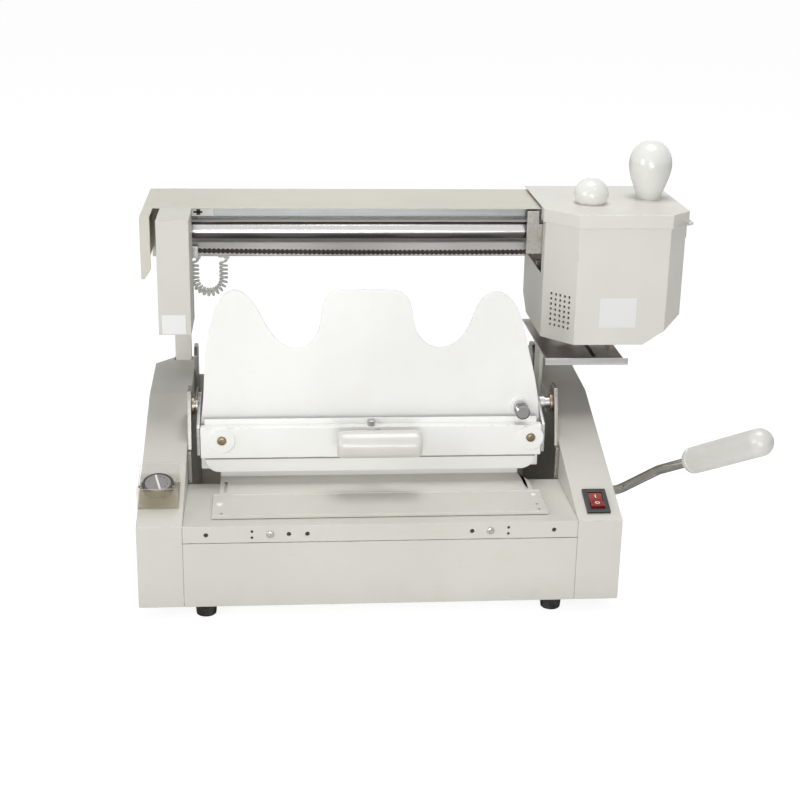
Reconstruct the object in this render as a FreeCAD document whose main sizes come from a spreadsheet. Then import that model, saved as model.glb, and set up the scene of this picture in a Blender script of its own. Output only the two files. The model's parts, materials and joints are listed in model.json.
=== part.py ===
import FreeCAD, Part
import math
import os
import re
import Sketcher

# Desktop book binding machine: a book is held in a swinging clamp, turned spine up,
# and a glue head slides over it along a guide rod. All sizes are millimetres.
# Layout axes: X to the right, Y to the back, Z up. Layout zero is the floor point under
# the middle of the front. The finished pieces are moved by one offset, so that the
# machine's own origin is the middle of its footprint on the floor.

doc = FreeCAD.newDocument("BindingMachine")
sheet = doc.addObject("Spreadsheet::Sheet", "Sizes")

SIZES = {
    # general
    "skin": 1.5,
    "over": 1.0,
    "air": 0.5,
    "running": 0.05,
    "screw_radius": 3.6,
    "screw_head": 1.6,
    # base and feet
    "foot_high": 14,
    "foot_radius": 10.5,
    "foot_inset": 20,
    "foot_front": 16,
    "foot_back_inset": 17,
    "pan_thick": 2,
    "pan_behind": 3,
    "pan_wall_high": 150,
    # side casings
    "casing_wide": 43,
    "bay_half": 188,
    "casing_behind": 12,
    "casing_front_high": 97,
    "slope_run": 201,
    "slope_top": 162,
    "casing_back_high": 168,
    "corner_cut": 22,
    # front and table
    "seam_high": 79.5,
    "seam_gap": 0.5,
    "strip_hole": 2.2,
    "strip_dot": 1.4,
    "strip_pair_gap": 6.2,
    "table_deep": 108,
    "table_lip": 12,
    "table_middle": -4,
    "press_inset": 36,
    "press_corner_wide": 9,
    "press_corner_long": 24,
    "press_front": 76,
    "press_back": 124,
    "slot_half_wide": 1.3,
    "slot_inset": 6,
    "slot_long": 30,
    "slot_start": 4,
    "bar_thick": 6,
    "bar_top": 105,
    "bar_deep": 15,
    "leg_wide": 20,
    "leg_inset": 26,
    "nip_overhang": 9.5,
    "nip_middle": 0.3,
    "nip_front": 16,
    "nip_back": 69,
    "nip_thick": 2,
    "nip_lip": 2,
    "nip_edge_high": 1,
    "nip_hole": 1.6,
    # swinging clamp
    "pivot_depth": 146,
    "pivot_high": 167.5,
    "trunnion_radius": 6,
    "bush_wall": 2,
    "bush_flange": 2.5,
    "side_plate_thick": 4,
    "side_plate_front": 110,
    "side_plate_before": 3,
    "side_plate_low_front": 118,
    "side_plate_high": 148,
    "side_plate_rise": 190,
    "side_plate_rise_long": 31,
    "lobe_half": 18,
    "lobe_shoulder": 8,
    "clamp_middle": -4,
    "plate_inset": 17.5,
    "plate_front": 116,
    "plate_thick": 2,
    "plate_bottom": 110,
    "plate_top": 295.3,
    "back_bar_thick": 10,
    "back_bar_bottom": 137,
    "back_bar_top": 163,
    "end_bracket_thick": 3,
    "end_bracket_front": 98,
    "end_bracket_low": 131,
    "collar_radius": 8,
    "collar_left": 3,
    "collar_right": 6.5,
    # front jaw
    "jaw_gap": 8,
    "jaw_plate_thick": 2,
    "jaw_plate_inset": 4.5,
    "jaw_plate_top": 166,
    "jaw_corner": 14,
    "jaw_bar_thick": 10,
    "jaw_bar_bottom": 128.5,
    "jaw_bar_top": 160.5,
    "jaw_end_gap": 0.5,
    "guide_pin_radius": 5,
    "guide_pin_inset": 16.5,
    "guide_pin_high": 147.5,
    "guide_pin_back": 176,
    "washer_radius": 13,
    "washer_thick": 2.2,
    "handle_middle": 1,
    "spindle_high": 153.5,
    "spindle_radius": 4.5,
    "spindle_back": 172,
    "handle_radius": 13.5,
    "handle_long": 83,
    "handle_front": 65,
    "handle_round": 5,
    "retainer_radius": 4,
    "retainer_high": 5.5,
    "retainer_aside": 6,
    # clamp lock knob
    "knob_inset": 24.7,
    "knob_high": 174.5,
    "knob_radius": 7.3,
    "knob_long": 12,
    "knob_gap": 7,
    "knob_stem": 3,
    "knob_stem_back": 9,
    "boss_radius": 8.5,
    "boss_thick": 5,
    # gantry
    "beam_top": 359,
    "beam_before": 15,
    "beam_behind": 87,
    "beam_overhang": 137,
    "skirt_high": 74,
    "finger_reach": 44,
    "finger_wide": 10,
    "finger_high": 63,
    "column_outside": 26,
    "column_inside": 6,
    "column_reach": 63,
    "column_high": 115,
    "column_notch": 10,
    "end_plate_thick": 4,
    "end_plate_before": 12,
    "end_plate_high": 68,
    "end_plate_aside": 4,
    "upright_aside": 4.3,
    "upright_wide": 17.7,
    "upright_thick": 9,
    "rod_depth": 215,
    "rod_below": 27,
    "rod_radius": 12.25,
    "strip_before": 5,
    "strip_thick": 2.5,
    "strip_high": 11,
    # drive chain
    "chain_pitch": 4.7625,
    "chain_behind": 26,
    "chain_below": 29,
    "chain_pin_radius": 0.9,
    "chain_plate_radius": 2.15,
    "chain_waist": 1.35,
    "chain_plate_thick": 0.9,
    "chain_inner_gap": 2.6,
    "anchor_wide": 9,
    "anchor_high": 8,
    "anchor_low": 5,
    # curly cord
    "cord_behind": 6,
    "cord_wire": 2.8,
    "cord_coil": 10,
    "cord_right": 155.3,
    "cord_left": 186.5,
    "gland_drop": 2,
    "cord_limb": 24.2,
    "cord_ease": 0.4,
    "gland_side": 11,
    "gland_high": 14,
    "gland_thick": 11,
    # drip tray
    "tray_inset": 12,
    "tray_wide": 81,
    "tray_flare": 6,
    "tray_behind": 3,
    "tray_overhang": 2,
    "tray_below": 14.7,
    "tray_lip": 7.6,
    "tray_slot": 5,
    "tray_slot_aside": 49.5,
    "tray_slot_inset": 5,
    "bracket_behind": 11,
    "bracket_wide": 30,
    # consoles
    "dial_aside": 24,
    "dial_box": 40,
    "dial_box_start": 26,
    "dial_box_high": 25,
    "dial_radius": 15,
    "dial_thick": 9,
    "dial_lift": 8,
    "dial_shaft": 3,
    "thermostat_radius": 14,
    "thermostat_deep": 26,
    "switch_aside": 21.6,
    "switch_start": 10,
    "switch_wide": 23,
    "switch_long": 34,
    "bezel_rim": 3,
    "bezel_high": 3,
    "switch_deep": 22,
    "rocker_gap": 0.4,
    "rocker_rise": 2.6,
    "rocker_end_gap": 1.4,
    "rocker_deep": 9,
    "inlet_inset": 68,
    "inlet_high": 60,
    "inlet_wide": 48,
    "inlet_tall": 28,
    "inlet_deep": 24,
    "inlet_rim": 3,
    # glue head
    "head_inset": 13,
    "head_wide": 142.5,
    "head_before": 68,
    "head_behind": 83,
    "head_high": 133,
    "head_rise": 2,
    "left_chamfer_wide": 29,
    "left_chamfer_deep": 33,
    "right_chamfer_wide": 20.5,
    "right_chamfer_deep": 21,
    "low_cut_long": 22,
    "low_cut_bend": 6,
    "low_cut_rise": 11,
    "low_cut_top": 27,
    "rear_cut_long": 24,
    "rear_cut_rise": 18,
    "notch_before": 1,
    "notch_below": 20,
    "vent_radius": 1.5,
    "vent_pitch": 5.4,
    "vent_across": 5.8,
    "vent_rise": 16.1,
    "saddle_inset": 32,
    "saddle_wide": 79,
    "saddle_before": 20,
    "saddle_behind": 16,
    "saddle_below": 20,
    "saddle_above": 11.5,
    "saddle_bore_gap": 1.5,
    "bushing_radius": 16,
    "bushing_long": 29,
    "seal_radius": 13.9,
    "seal_long": 6,
    "guide_roller_radius": 6.3,
    "guide_roller_before": 7,
    "guide_roller_aside": 10,
    "guide_axle_radius": 2,
    "arm_thick": 3,
    "hanger_thick": 4,
    "hanger_inset": 61,
    "hanger_rise": 4,
    "pot_gap": 3,
    "pot_inset": 41.5,
    "pot_behind": 9,
    "pot_rise": 4,
    "pot_deep": 40,
    "pot_wall": 3,
    "pot_slot_air": 1.5,
    "roller_inset": 33,
    "roller_radius": 22,
    "roller_below": 7.5,
    "roller_behind": 28,
    "roller_before": 4,
    "shaft_radius": 5,
    "shaft_bush_wall": 2.5,
    "gear_thick": 6,
    "gear_behind": 15,
    "gear_teeth": 20,
    "tooth_share": 0.24,
    "sprocket_teeth": 28,
    "sprocket_thick": 1.8,
    "drive_bush_before": 17,
    "blade_thick": 2,
    "blade_gap": 0.7,
    "heater_radius": 5,
    "heater_long": 66,
    # lid and knobs
    "lid_over": 2.4,
    "lid_rise": 2,
    "lid_deep": 14,
    "lid_behind": 3,
    "lid_axis_out": 5,
    "lid_axis_rise": 1,
    "hinge_radius": 2,
    "hinge_pin": 1,
    "hinge_behind": 24,
    "hinge_long": 16,
    "knuckle_long": 4,
    "knuckle_gap": 0.3,
    "leaf_high": 14,
    "dome_inset": 51,
    "dome_behind": 59,
    "dome_radius": 18,
    "dome_high": 26,
    "bulb_inset": 25,
    "bulb_behind": 86,
    "bulb_neck": 13,
    "bulb_radius": 22.5,
    "bulb_high": 60,
    # press lever
    "lever_depth": 120,
    "lever_high": 78,
    "lever_radius": 4.8,
    "lever_reach": 21,
    "lever_bend_run": 55.3,
    "grip_aside": 48,
    "grip_start_y": 24.3,
    "grip_start_z": 147.4,
    "grip_wide": 36.5,
    "grip_tip_y": -60,
    "grip_tip_z": 197.5,
    "grip_radius": 13,
    "lever_turn_radius": 18,
    "lever_bend_radius": 55,
    "hub_radius": 9,
    "hub_thick": 5,
}

# Sizes that follow others: widths from the bay, depths from the guide rod, heights from the beam
FOLLOWING_SIZES = {
    "casing_half": "bay_half + casing_wide",
    "foot_side": "bay_half - foot_inset",
    "press_half": "bay_half - press_inset",
    "nip_half": "press_half + nip_overhang",
    "plate_half": "bay_half - plate_inset",
    "jaw_plate_half": "plate_half - jaw_plate_inset",
    "guide_pin_side": "plate_half - guide_pin_inset",
    "knob_place": "plate_half - knob_inset",
    "inlet_place": "bay_half - inlet_inset",
    "beam_left": "casing_half",
    "beam_right": "bay_half + beam_overhang",
    "column_left": "bay_half + column_outside",
    "column_right": "bay_half - column_inside",
    "left_plate_place": "bay_half + end_plate_aside",
    "upright_inner": "bay_half + upright_aside",
    "upright_outer": "upright_inner + upright_wide",
    "tray_left": "bay_half - tray_inset",
    "tray_right": "tray_left + tray_wide",
    "tray_slot_place": "tray_left + tray_slot_aside",
    "dial_place": "bay_half + dial_aside",
    "switch_place": "bay_half + switch_aside",
    "head_left": "bay_half - head_inset",
    "head_right": "head_left + head_wide",
    "saddle_left": "head_left + saddle_inset",
    "saddle_right": "saddle_left + saddle_wide",
    "guide_roller_place": "head_left - guide_roller_aside",
    "hanger_left": "head_left + hanger_inset",
    "pot_right": "head_right - pot_inset",
    "roller_place": "head_left + roller_inset",
    "dome_place": "head_left + dome_inset",
    "bulb_place": "head_right - bulb_inset",
    "lever_elbow_x": "casing_half + lever_reach",
    "grip_start_x": "lever_elbow_x + grip_aside",
    "grip_tip_x": "grip_start_x + grip_wide",
    "beam_front": "rod_depth - beam_before",
    "beam_back": "rod_depth + beam_behind",
    "pan_back": "beam_back + pan_behind",
    "foot_back": "pan_back - foot_back_inset",
    "casing_depth": "beam_back + casing_behind",
    "side_plate_back": "beam_back - side_plate_before",
    "side_plate_rise_front": "side_plate_back - side_plate_rise_long",
    "finger_front": "beam_front - finger_reach",
    "column_front": "beam_front - column_reach",
    "column_side_back": "beam_front",
    "column_notch_front": "beam_front - column_notch",
    "end_plate_front": "rod_depth - end_plate_before",
    "strip_front": "rod_depth - strip_before",
    "chain_depth": "rod_depth + chain_behind",
    "cord_plane": "beam_back + cord_behind",
    "bracket_front": "rod_depth + bracket_behind",
    "bracket_back": "bracket_front + bracket_wide",
    "head_front": "rod_depth - head_before",
    "head_back": "rod_depth + head_behind",
    "tray_front": "head_front + tray_behind",
    "tray_back": "head_back + tray_overhang",
    "low_cut_start": "head_back - low_cut_long",
    "low_cut_middle": "head_back - low_cut_bend",
    "rear_cut_start": "head_back - rear_cut_long",
    "saddle_front": "rod_depth - saddle_before",
    "saddle_back": "rod_depth + saddle_behind",
    "notch_front": "saddle_front - notch_before",
    "guide_roller_back": "rod_depth - guide_roller_before",
    "pot_front": "head_front + pot_behind",
    "roller_front": "pot_front + roller_behind",
    "roller_back": "saddle_back - roller_before",
    "gear_front": "saddle_back + gear_behind",
    "drive_bush_front": "saddle_back - drive_bush_before",
    "lid_back": "head_back + lid_behind",
    "hinge_front": "head_front + hinge_behind",
    "hinge_back": "hinge_front + hinge_long",
    "dome_depth": "head_front + dome_behind",
    "bulb_depth": "head_front + bulb_behind",
    "rod_high": "beam_top - rod_below",
    "strip_low": "beam_top - strip_high",
    "skirt_low": "beam_top - skirt_high",
    "finger_low": "beam_top - finger_high",
    "column_low": "beam_top - column_high",
    "end_plate_low": "beam_top - end_plate_high",
    "chain_high": "rod_high - chain_below",
    "cord_high": "skirt_low - gland_drop",
    "head_top": "beam_top + head_rise",
    "head_low": "head_top - head_high",
    "low_cut_middle_high": "head_low + low_cut_rise",
    "low_cut_high": "head_low + low_cut_top",
    "rear_cut_high": "head_low + rear_cut_rise",
    "vent_low": "head_low + vent_rise",
    "saddle_low": "rod_high - saddle_below",
    "saddle_top": "rod_high + saddle_above",
    "notch_low": "saddle_low - notch_below",
    "pot_low": "head_low + pot_rise",
    "pot_top": "pot_low + pot_deep",
    "hanger_low": "pot_low + hanger_rise",
    "roller_low": "pot_low - roller_below",
    "tray_high": "head_low - tray_below",
    "lid_top": "head_top + lid_rise",
    "lid_low": "lid_top - lid_deep",
    "lid_axis_high": "lid_low + lid_axis_rise",
}

for row, (alias, length) in enumerate([*SIZES.items(), *FOLLOWING_SIZES.items()], 1):
    sheet.set(f"A{row}", alias.replace("_", " "))
    sheet.set(f"B{row}", f"={length}")
    sheet.setAlias(f"B{row}", alias)
doc.recompute()

ALIASES = {*SIZES, *FOLLOWING_SIZES}
SUB_PARTS = []


def bound(text):
    """Expression text with every size name led by its sheet."""
    return re.sub(r"[a-z_]+", lambda m: "Sizes." + m.group() if m.group() in ALIASES else m.group(),
                  str(text))


def size(text):
    """The present value of an expression of size names."""
    return float(sheet.evalExpression(bound(text)))


ORIGIN_X = "(grip_tip_x + grip_radius - casing_half) / 2"
ORIGIN_Y = "(casing_depth + grip_tip_y - grip_radius) / 2"


def bind(thing, path, text):
    thing.setExpression(path, bound(text))


def place(thing, x, y, z):
    """Placement in layout axes, moved by the machine's own origin."""
    bind(thing, "Placement.Base.x", f"{x} - {ORIGIN_X}")
    bind(thing, "Placement.Base.y", f"{y} - {ORIGIN_Y}")
    bind(thing, "Placement.Base.z", z)


def keep(thing, label):
    """Names a finished sub-part, which is written under that name."""
    thing.Label = label
    SUB_PARTS.append(thing)
    return thing


def block(name, x_low, x_high, y_low, y_high, z_low, z_high):
    box = doc.addObject("Part::Box", name)
    bind(box, "Length", f"({x_high}) - ({x_low})")
    bind(box, "Width", f"({y_high}) - ({y_low})")
    bind(box, "Height", f"({z_high}) - ({z_low})")
    place(box, f"({x_low})", f"({y_low})", f"({z_low})")
    return box


def turn(thing, axis):
    """Lays a primitive's own +Z along the named layout axis."""
    if axis == "X":
        thing.Placement.Rotation = FreeCAD.Rotation(FreeCAD.Vector(0, 1, 0), 90)
    if axis == "Y":
        thing.Placement.Rotation = FreeCAD.Rotation(FreeCAD.Vector(1, 0, 0), -90)


def lay(thing, axis, start, across, up):
    if axis == "X":
        place(thing, f"({start})", f"({across})", f"({up})")
    elif axis == "Y":
        place(thing, f"({across})", f"({start})", f"({up})")
    else:
        place(thing, f"({across})", f"({up})", f"({start})")


def round_bar(name, axis, radius, start, end, across, up):
    """Cylinder along X, Y or Z; across and up are its other two layout places."""
    bar = doc.addObject("Part::Cylinder", name)
    turn(bar, axis)
    bind(bar, "Radius", radius)
    bind(bar, "Height", f"({end}) - ({start})")
    lay(bar, axis, start, across, up)
    return bar


def fuse(name, *pieces):
    joined = doc.addObject("Part::MultiFuse", name)
    joined.Shapes = list(pieces)
    joined.Refine = True
    return joined


def group(name, *pieces):
    held = doc.addObject("Part::Compound", name)
    held.Links = list(pieces)
    return held


def cut(name, base, *tools):
    """Base less the tools, which are joined first where there are several."""
    removed = doc.addObject("Part::Cut", name)
    removed.Base = base
    removed.Tool = tools[0] if len(tools) == 1 else group(name + "_tools", *tools)
    removed.Refine = True
    return removed


def new_body(name):
    body = doc.addObject("PartDesign::Body", name)
    place(body, "0", "0", "0")
    return body


def new_sketch(body, plane, low, high):
    """Sketch from which a feature runs along its normal between two layout places."""
    sketch = body.newObject("Sketcher::SketchObject", f"{body.Name}_sketch")
    origin_plane = [o for o in body.Origin.OriginFeatures if o.Role == plane + "_Plane"][0]
    sketch.AttachmentSupport = (origin_plane, "")
    sketch.MapMode = "FlatFace"
    start = f"-({high})" if plane == "XZ" else low
    bind(sketch, "AttachmentOffset.Base.z", start)
    return sketch


def draw_outline(sketch, outline):
    """Closed outline of straight edges; each corner is a pair of size expressions."""
    corners = [FreeCAD.Vector(size(u), size(v), 0) for u, v in outline]
    first = sketch.GeometryCount
    count = len(corners)
    for index in range(count):
        sketch.addGeometry(Part.LineSegment(corners[index], corners[(index + 1) % count]), False)
    for index in range(count):
        following = first + (index + 1) % count
        sketch.addConstraint(Sketcher.Constraint("Coincident", first + index, 2, following, 1))
    for index, pair in enumerate(outline):
        for kind, text, spot in zip(("DistanceX", "DistanceY"), pair, (corners[index].x, corners[index].y)):
            number = sketch.addConstraint(Sketcher.Constraint(kind, -1, 1, first + index, 1, spot))
            bind(sketch, f"Constraints[{number}]", text)


def draw_circles(sketch, circles):
    """Circles, each given as centre expressions and a radius expression."""
    for u, v, radius in circles:
        centre = FreeCAD.Vector(size(u), size(v), 0)
        ring = sketch.addGeometry(Part.Circle(centre, FreeCAD.Vector(0, 0, 1), size(radius)), False)
        for kind, text, spot in (("DistanceX", u, centre.x), ("DistanceY", v, centre.y)):
            number = sketch.addConstraint(Sketcher.Constraint(kind, -1, 1, ring, 3, spot))
            bind(sketch, f"Constraints[{number}]", text)
        number = sketch.addConstraint(Sketcher.Constraint("Radius", ring, size(radius)))
        bind(sketch, f"Constraints[{number}]", radius)


def pad(body, plane, low, high, outline=None, circles=None):
    sketch = new_sketch(body, plane, low, high)
    if outline:
        draw_outline(sketch, outline)
    if circles:
        draw_circles(sketch, circles)
    feature = body.newObject("PartDesign::Pad", f"{body.Name}_pad")
    feature.Profile = sketch
    bind(feature, "Length", f"({high}) - ({low})")
    sketch.Visibility = False
    return feature


def pocket(body, plane, low, high, outline=None, circles=None):
    """Removes the same space that a pad with these values would fill."""
    doc.recompute()
    before = body.Shape.Volume
    sketch = new_sketch(body, plane, low, high)
    if outline:
        draw_outline(sketch, outline)
    if circles:
        draw_circles(sketch, circles)
    feature = body.newObject("PartDesign::Pocket", f"{body.Name}_pocket")
    feature.Profile = sketch
    feature.Reversed = True
    bind(feature, "Length", f"({high}) - ({low})")
    doc.recompute()
    if body.Shape.Volume >= before:
        raise RuntimeError(f"{feature.Name} removes nothing")
    return feature


def prism(name, plane, low, high, outline):
    body = new_body(name)
    pad(body, plane, low, high, outline)
    return body


def round_edges(body, radius, wanted):
    """Fillet on the edges that the test picks."""
    doc.recompute()
    edges = [f"Edge{i}" for i, edge in enumerate(body.Shape.Edges, 1) if wanted(edge)]
    if not edges:
        raise RuntimeError(f"{body.Name} has no edge to round")
    base = body.Tip
    fillet = body.newObject("PartDesign::Fillet", f"{body.Name}_fillet")
    fillet.Base = (base, edges)
    bind(fillet, "Radius", radius)
    return fillet


def shaped(name, shape):
    """Sub-part whose shape is worked out by the code, in layout axes."""
    feature = doc.addObject("Part::Feature", name)
    feature.Shape = shape
    origin = FreeCAD.Vector(-size(ORIGIN_X), -size(ORIGIN_Y), 0)
    feature.Placement = FreeCAD.Placement(origin, FreeCAD.Rotation())
    return feature


# Base: pan with its rear wall, and four feet
pan = new_body("base_pan_body")
pad(pan, "YZ", "-bay_half", "bay_half", [
    ("skin + air", "foot_high"), ("pan_back", "foot_high"),
    ("pan_back", "pan_wall_high"), ("pan_back - pan_thick", "pan_wall_high"),
    ("pan_back - pan_thick", "foot_high + pan_thick"), ("skin + air", "foot_high + pan_thick"),
])
pocket(pan, "XZ", "pan_back - pan_thick - over", "pan_back + over", [
    ("inlet_place - inlet_wide / 2", "inlet_high - inlet_tall / 2"),
    ("inlet_place + inlet_wide / 2", "inlet_high - inlet_tall / 2"),
    ("inlet_place + inlet_wide / 2", "inlet_high + inlet_tall / 2"),
    ("inlet_place - inlet_wide / 2", "inlet_high + inlet_tall / 2"),
])
keep(pan, "base_pan")

feet = []
for side in ("-", ""):
    for depth in ("foot_front", "foot_back"):
        feet.append(round_bar("foot", "Z", "foot_radius", "0", "foot_high", f"{side}foot_side", depth))
keep(group("feet", *feet), "rubber_feet")

# Side casings: sheet shells open at the bottom, with a cut rear outer corner
CASING_RISE = "(slope_top - casing_front_high)"


def casing_block(name, side, inset, low):
    """Outer form of a casing, drawn in by an inset on every wall but the bottom."""
    near = f"bay_half + {inset}"
    far = f"casing_half - {inset}"
    body = new_body(name)
    span = (near, far) if side > 0 else (f"-({far})", f"-({near})")
    pad(body, "YZ", *span, [
        (inset, low), (inset, f"casing_front_high - {inset}"),
        ("slope_run", f"slope_top - {inset}"), (f"casing_depth - {inset}", f"casing_back_high - {inset}"),
        (f"casing_depth - {inset}", low),
    ])
    mirrored = "" if side > 0 else "-"
    corner = [
        (f"{mirrored}(casing_half - corner_cut)", f"casing_depth - {inset}"),
        (f"{mirrored}(casing_half - {inset})", "casing_depth - corner_cut"),
        (f"{mirrored}(casing_half + over)", "casing_depth - corner_cut"),
        (f"{mirrored}(casing_half + over)", "casing_depth + over"),
        (f"{mirrored}(casing_half - corner_cut)", "casing_depth + over"),
    ]
    pocket(body, "XY", low + " - over", "casing_back_high + over", corner)
    return body


SLOPE_LONG = f"sqrt(slope_run ^ 2 + {CASING_RISE} ^ 2)"
SLOPE_COS = f"(slope_run / {SLOPE_LONG})"
SLOPE_SIN = f"({CASING_RISE} / {SLOPE_LONG})"


def on_slope(thing, x, along, above):
    """Places a primitive on a console's slope, its own Y up the slope and Z out of it."""
    thing.Placement.Rotation = FreeCAD.Rotation(FreeCAD.Vector(1, 0, 0), 1)
    bind(thing, "Placement.Rotation.Angle", f"atan({CASING_RISE} / slope_run)")
    place(thing, f"({x})", f"(({along}) * {SLOPE_COS} - ({above}) * {SLOPE_SIN})",
          f"casing_front_high + ({along}) * {SLOPE_SIN} + ({above}) * {SLOPE_COS}")
    return thing


def slope_block(name, x_low, x_high, along_low, along_high, low, high):
    box = doc.addObject("Part::Box", name)
    bind(box, "Length", f"({x_high}) - ({x_low})")
    bind(box, "Width", f"({along_high}) - ({along_low})")
    bind(box, "Height", f"({high}) - ({low})")
    return on_slope(box, x_low, along_low, low)


def slope_round(name, radius, x, along, low, high):
    bar = doc.addObject("Part::Cylinder", name)
    bind(bar, "Radius", radius)
    bind(bar, "Height", f"({high}) - ({low})")
    return on_slope(bar, x, along, low)


DIAL_MIDDLE = "(dial_box_start + dial_box / 2)"
SWITCH_MIDDLE = "(switch_start + switch_long / 2)"


def upright_slot(name, side):
    """Opening in a casing's top that an upright passes."""
    low, high = ("upright_inner - air", "upright_outer + air")
    if side < 0:
        low, high = (f"-({high})", f"-({low})")
    return block(name, low, high, "beam_back - air", "beam_back + upright_thick + air",
                 "slope_top - skin - over", "casing_back_high + over")


left_outer = casing_block("left_casing_outer", -1, "0", "foot_high")
left_inner = casing_block("left_casing_inner", -1, "skin", "foot_high - over")
dial_hole = slope_round("dial_hole", "dial_shaft + air", "-dial_place", DIAL_MIDDLE, "-skin * 2", "over")
keep(cut("left_casing_cut", left_outer, left_inner, dial_hole, upright_slot("left_upright_slot", -1)),
     "left_casing")

right_outer = casing_block("right_casing_outer", 1, "0", "foot_high")
right_inner = casing_block("right_casing_inner", 1, "skin", "foot_high - over")
switch_hole = slope_block("switch_hole", "switch_place - switch_wide / 2 + bezel_rim - air",
                          "switch_place + switch_wide / 2 - bezel_rim + air",
                          "switch_start + bezel_rim - air", "switch_start + switch_long - bezel_rim + air",
                          "-skin * 2", "over")
lever_hole = round_bar("lever_hole", "X", "lever_radius + running", "bay_half - over", "casing_half + over",
                       "lever_depth", "lever_high")
keep(cut("right_casing_cut", right_outer, right_inner, switch_hole, lever_hole,
         upright_slot("right_upright_slot", 1)), "right_casing")

# Front panel, and the table cover that folds over from its upper strip
keep(prism("front_panel_body", "YZ", "-bay_half", "bay_half", [
    ("0", "foot_high"), ("skin", "foot_high"), ("skin", "seam_high"), ("0", "seam_high"),
]), "front_panel")

STRIP_MIDDLE = "(seam_high + casing_front_high) / 2"
table = new_body("table_cover_body")
pad(table, "YZ", "-bay_half", "bay_half", [
    ("0", "seam_high + seam_gap"), ("skin", "seam_high + seam_gap"), ("skin", "casing_front_high - skin"),
    ("table_deep - skin", "casing_front_high - skin"), ("table_deep - skin", "casing_front_high - table_lip"),
    ("table_deep", "casing_front_high - table_lip"), ("table_deep", "casing_front_high"),
    ("0", "casing_front_high"),
])
SCREW_SHARES = (-0.563, 0.549)
HOLE_SHARES = (-0.883, -0.469, -0.376, 0.457, 0.877)
PAIR_SHARES = (-0.654, 0.643)
strip_holes = [(f"{share} * bay_half", STRIP_MIDDLE, "screw_radius / 2") for share in SCREW_SHARES]
strip_holes += [(f"{share} * bay_half", STRIP_MIDDLE, "strip_hole") for share in HOLE_SHARES]
for share in PAIR_SHARES:
    for side in ("+", "-"):
        strip_holes.append((f"{share} * bay_half", f"{STRIP_MIDDLE} {side} strip_pair_gap / 2", "strip_dot"))
pocket(table, "XZ", "-over", "skin + over", None, strip_holes)
keep(table, "table_cover")

screws = [
    fuse("strip_screw",
         round_bar("strip_screw_head", "Y", "screw_radius", "-screw_head", "0",
                   f"{share} * bay_half", STRIP_MIDDLE),
         round_bar("strip_screw_shank", "Y", "screw_radius / 2 - running", "0", "skin * 4",
                   f"{share} * bay_half", STRIP_MIDDLE))
    for share in SCREW_SHARES
]
keep(group("strip_screws", *screws), "front_screws")

# Press table with its two guide slots and a slanted corner, and the rear nip bar that stands behind it
PRESS_RIGHT = "table_middle + press_half + press_corner_wide"
press = prism("press_table_body", "XY", "casing_front_high", "casing_front_high + skin", [
    ("table_middle - press_half", "press_front"), (PRESS_RIGHT, "press_front"),
    (PRESS_RIGHT, "press_back - press_corner_long"),
    ("table_middle + press_half", "press_back"), ("table_middle - press_half", "press_back"),
])
for middle in ("table_middle - press_half + slot_inset", f"{PRESS_RIGHT} - slot_inset"):
    pocket(press, "XY", "casing_front_high - over", "casing_front_high + skin + over", [
        (f"{middle} - slot_half_wide", "press_front + slot_start"),
        (f"{middle} + slot_half_wide", "press_front + slot_start"),
        (f"{middle} + slot_half_wide", "press_front + slot_start + slot_long"),
        (f"{middle} - slot_half_wide", "press_front + slot_start + slot_long"),
    ])
keep(press, "press_table")

LEG_TOP = "bar_top - bar_deep"
PAN_TOP = "foot_high + pan_thick"
keep(prism("rear_nip_bar_body", "XZ", "press_back", "press_back + bar_thick", [
    ("table_middle - press_half", "bar_top"), ("table_middle - press_half", LEG_TOP),
    ("table_middle - press_half + leg_inset", LEG_TOP), ("table_middle - press_half + leg_inset", PAN_TOP),
    ("table_middle - press_half + leg_inset + leg_wide", PAN_TOP),
    ("table_middle - press_half + leg_inset + leg_wide", LEG_TOP),
    ("table_middle + press_half - leg_inset - leg_wide", LEG_TOP),
    ("table_middle + press_half - leg_inset - leg_wide", PAN_TOP),
    ("table_middle + press_half - leg_inset", PAN_TOP), ("table_middle + press_half - leg_inset", LEG_TOP),
    ("table_middle + press_half", LEG_TOP), ("table_middle + press_half", "bar_top"),
]), "rear_nip_bar")

# Front nip plate: slides back over the table and presses the cover against the spine
NIP_LOW = "casing_front_high + skin + air"
nip = prism("front_nip_plate_body", "YZ", "nip_middle - nip_half", "nip_middle + nip_half", [
    ("nip_front", "casing_front_high + air"), ("nip_front + nip_lip", "casing_front_high + air"),
    ("nip_front + nip_lip", NIP_LOW), ("nip_back", NIP_LOW),
    ("nip_back", f"{NIP_LOW} + nip_thick + nip_edge_high"),
    ("nip_back - nip_lip", f"{NIP_LOW} + nip_thick + nip_edge_high"),
    ("nip_back - nip_lip", f"{NIP_LOW} + nip_thick"), ("nip_front", f"{NIP_LOW} + nip_thick"),
])
NIP_HOLE_SHARES = ((-0.942, 0.1), (0.948, 0.1), (0.948, 0.34))
pocket(nip, "XY", f"{NIP_LOW} - over", f"{NIP_LOW} + nip_thick + over", None, [
    (f"nip_middle + {across} * nip_half", f"nip_front + {along} * (nip_back - nip_front)", "nip_hole")
    for across, along in NIP_HOLE_SHARES
])
keep(nip, "front_nip_plate")

# Steel side plates of the bay, which carry the clamp's bushes and the lever's shaft


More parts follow.
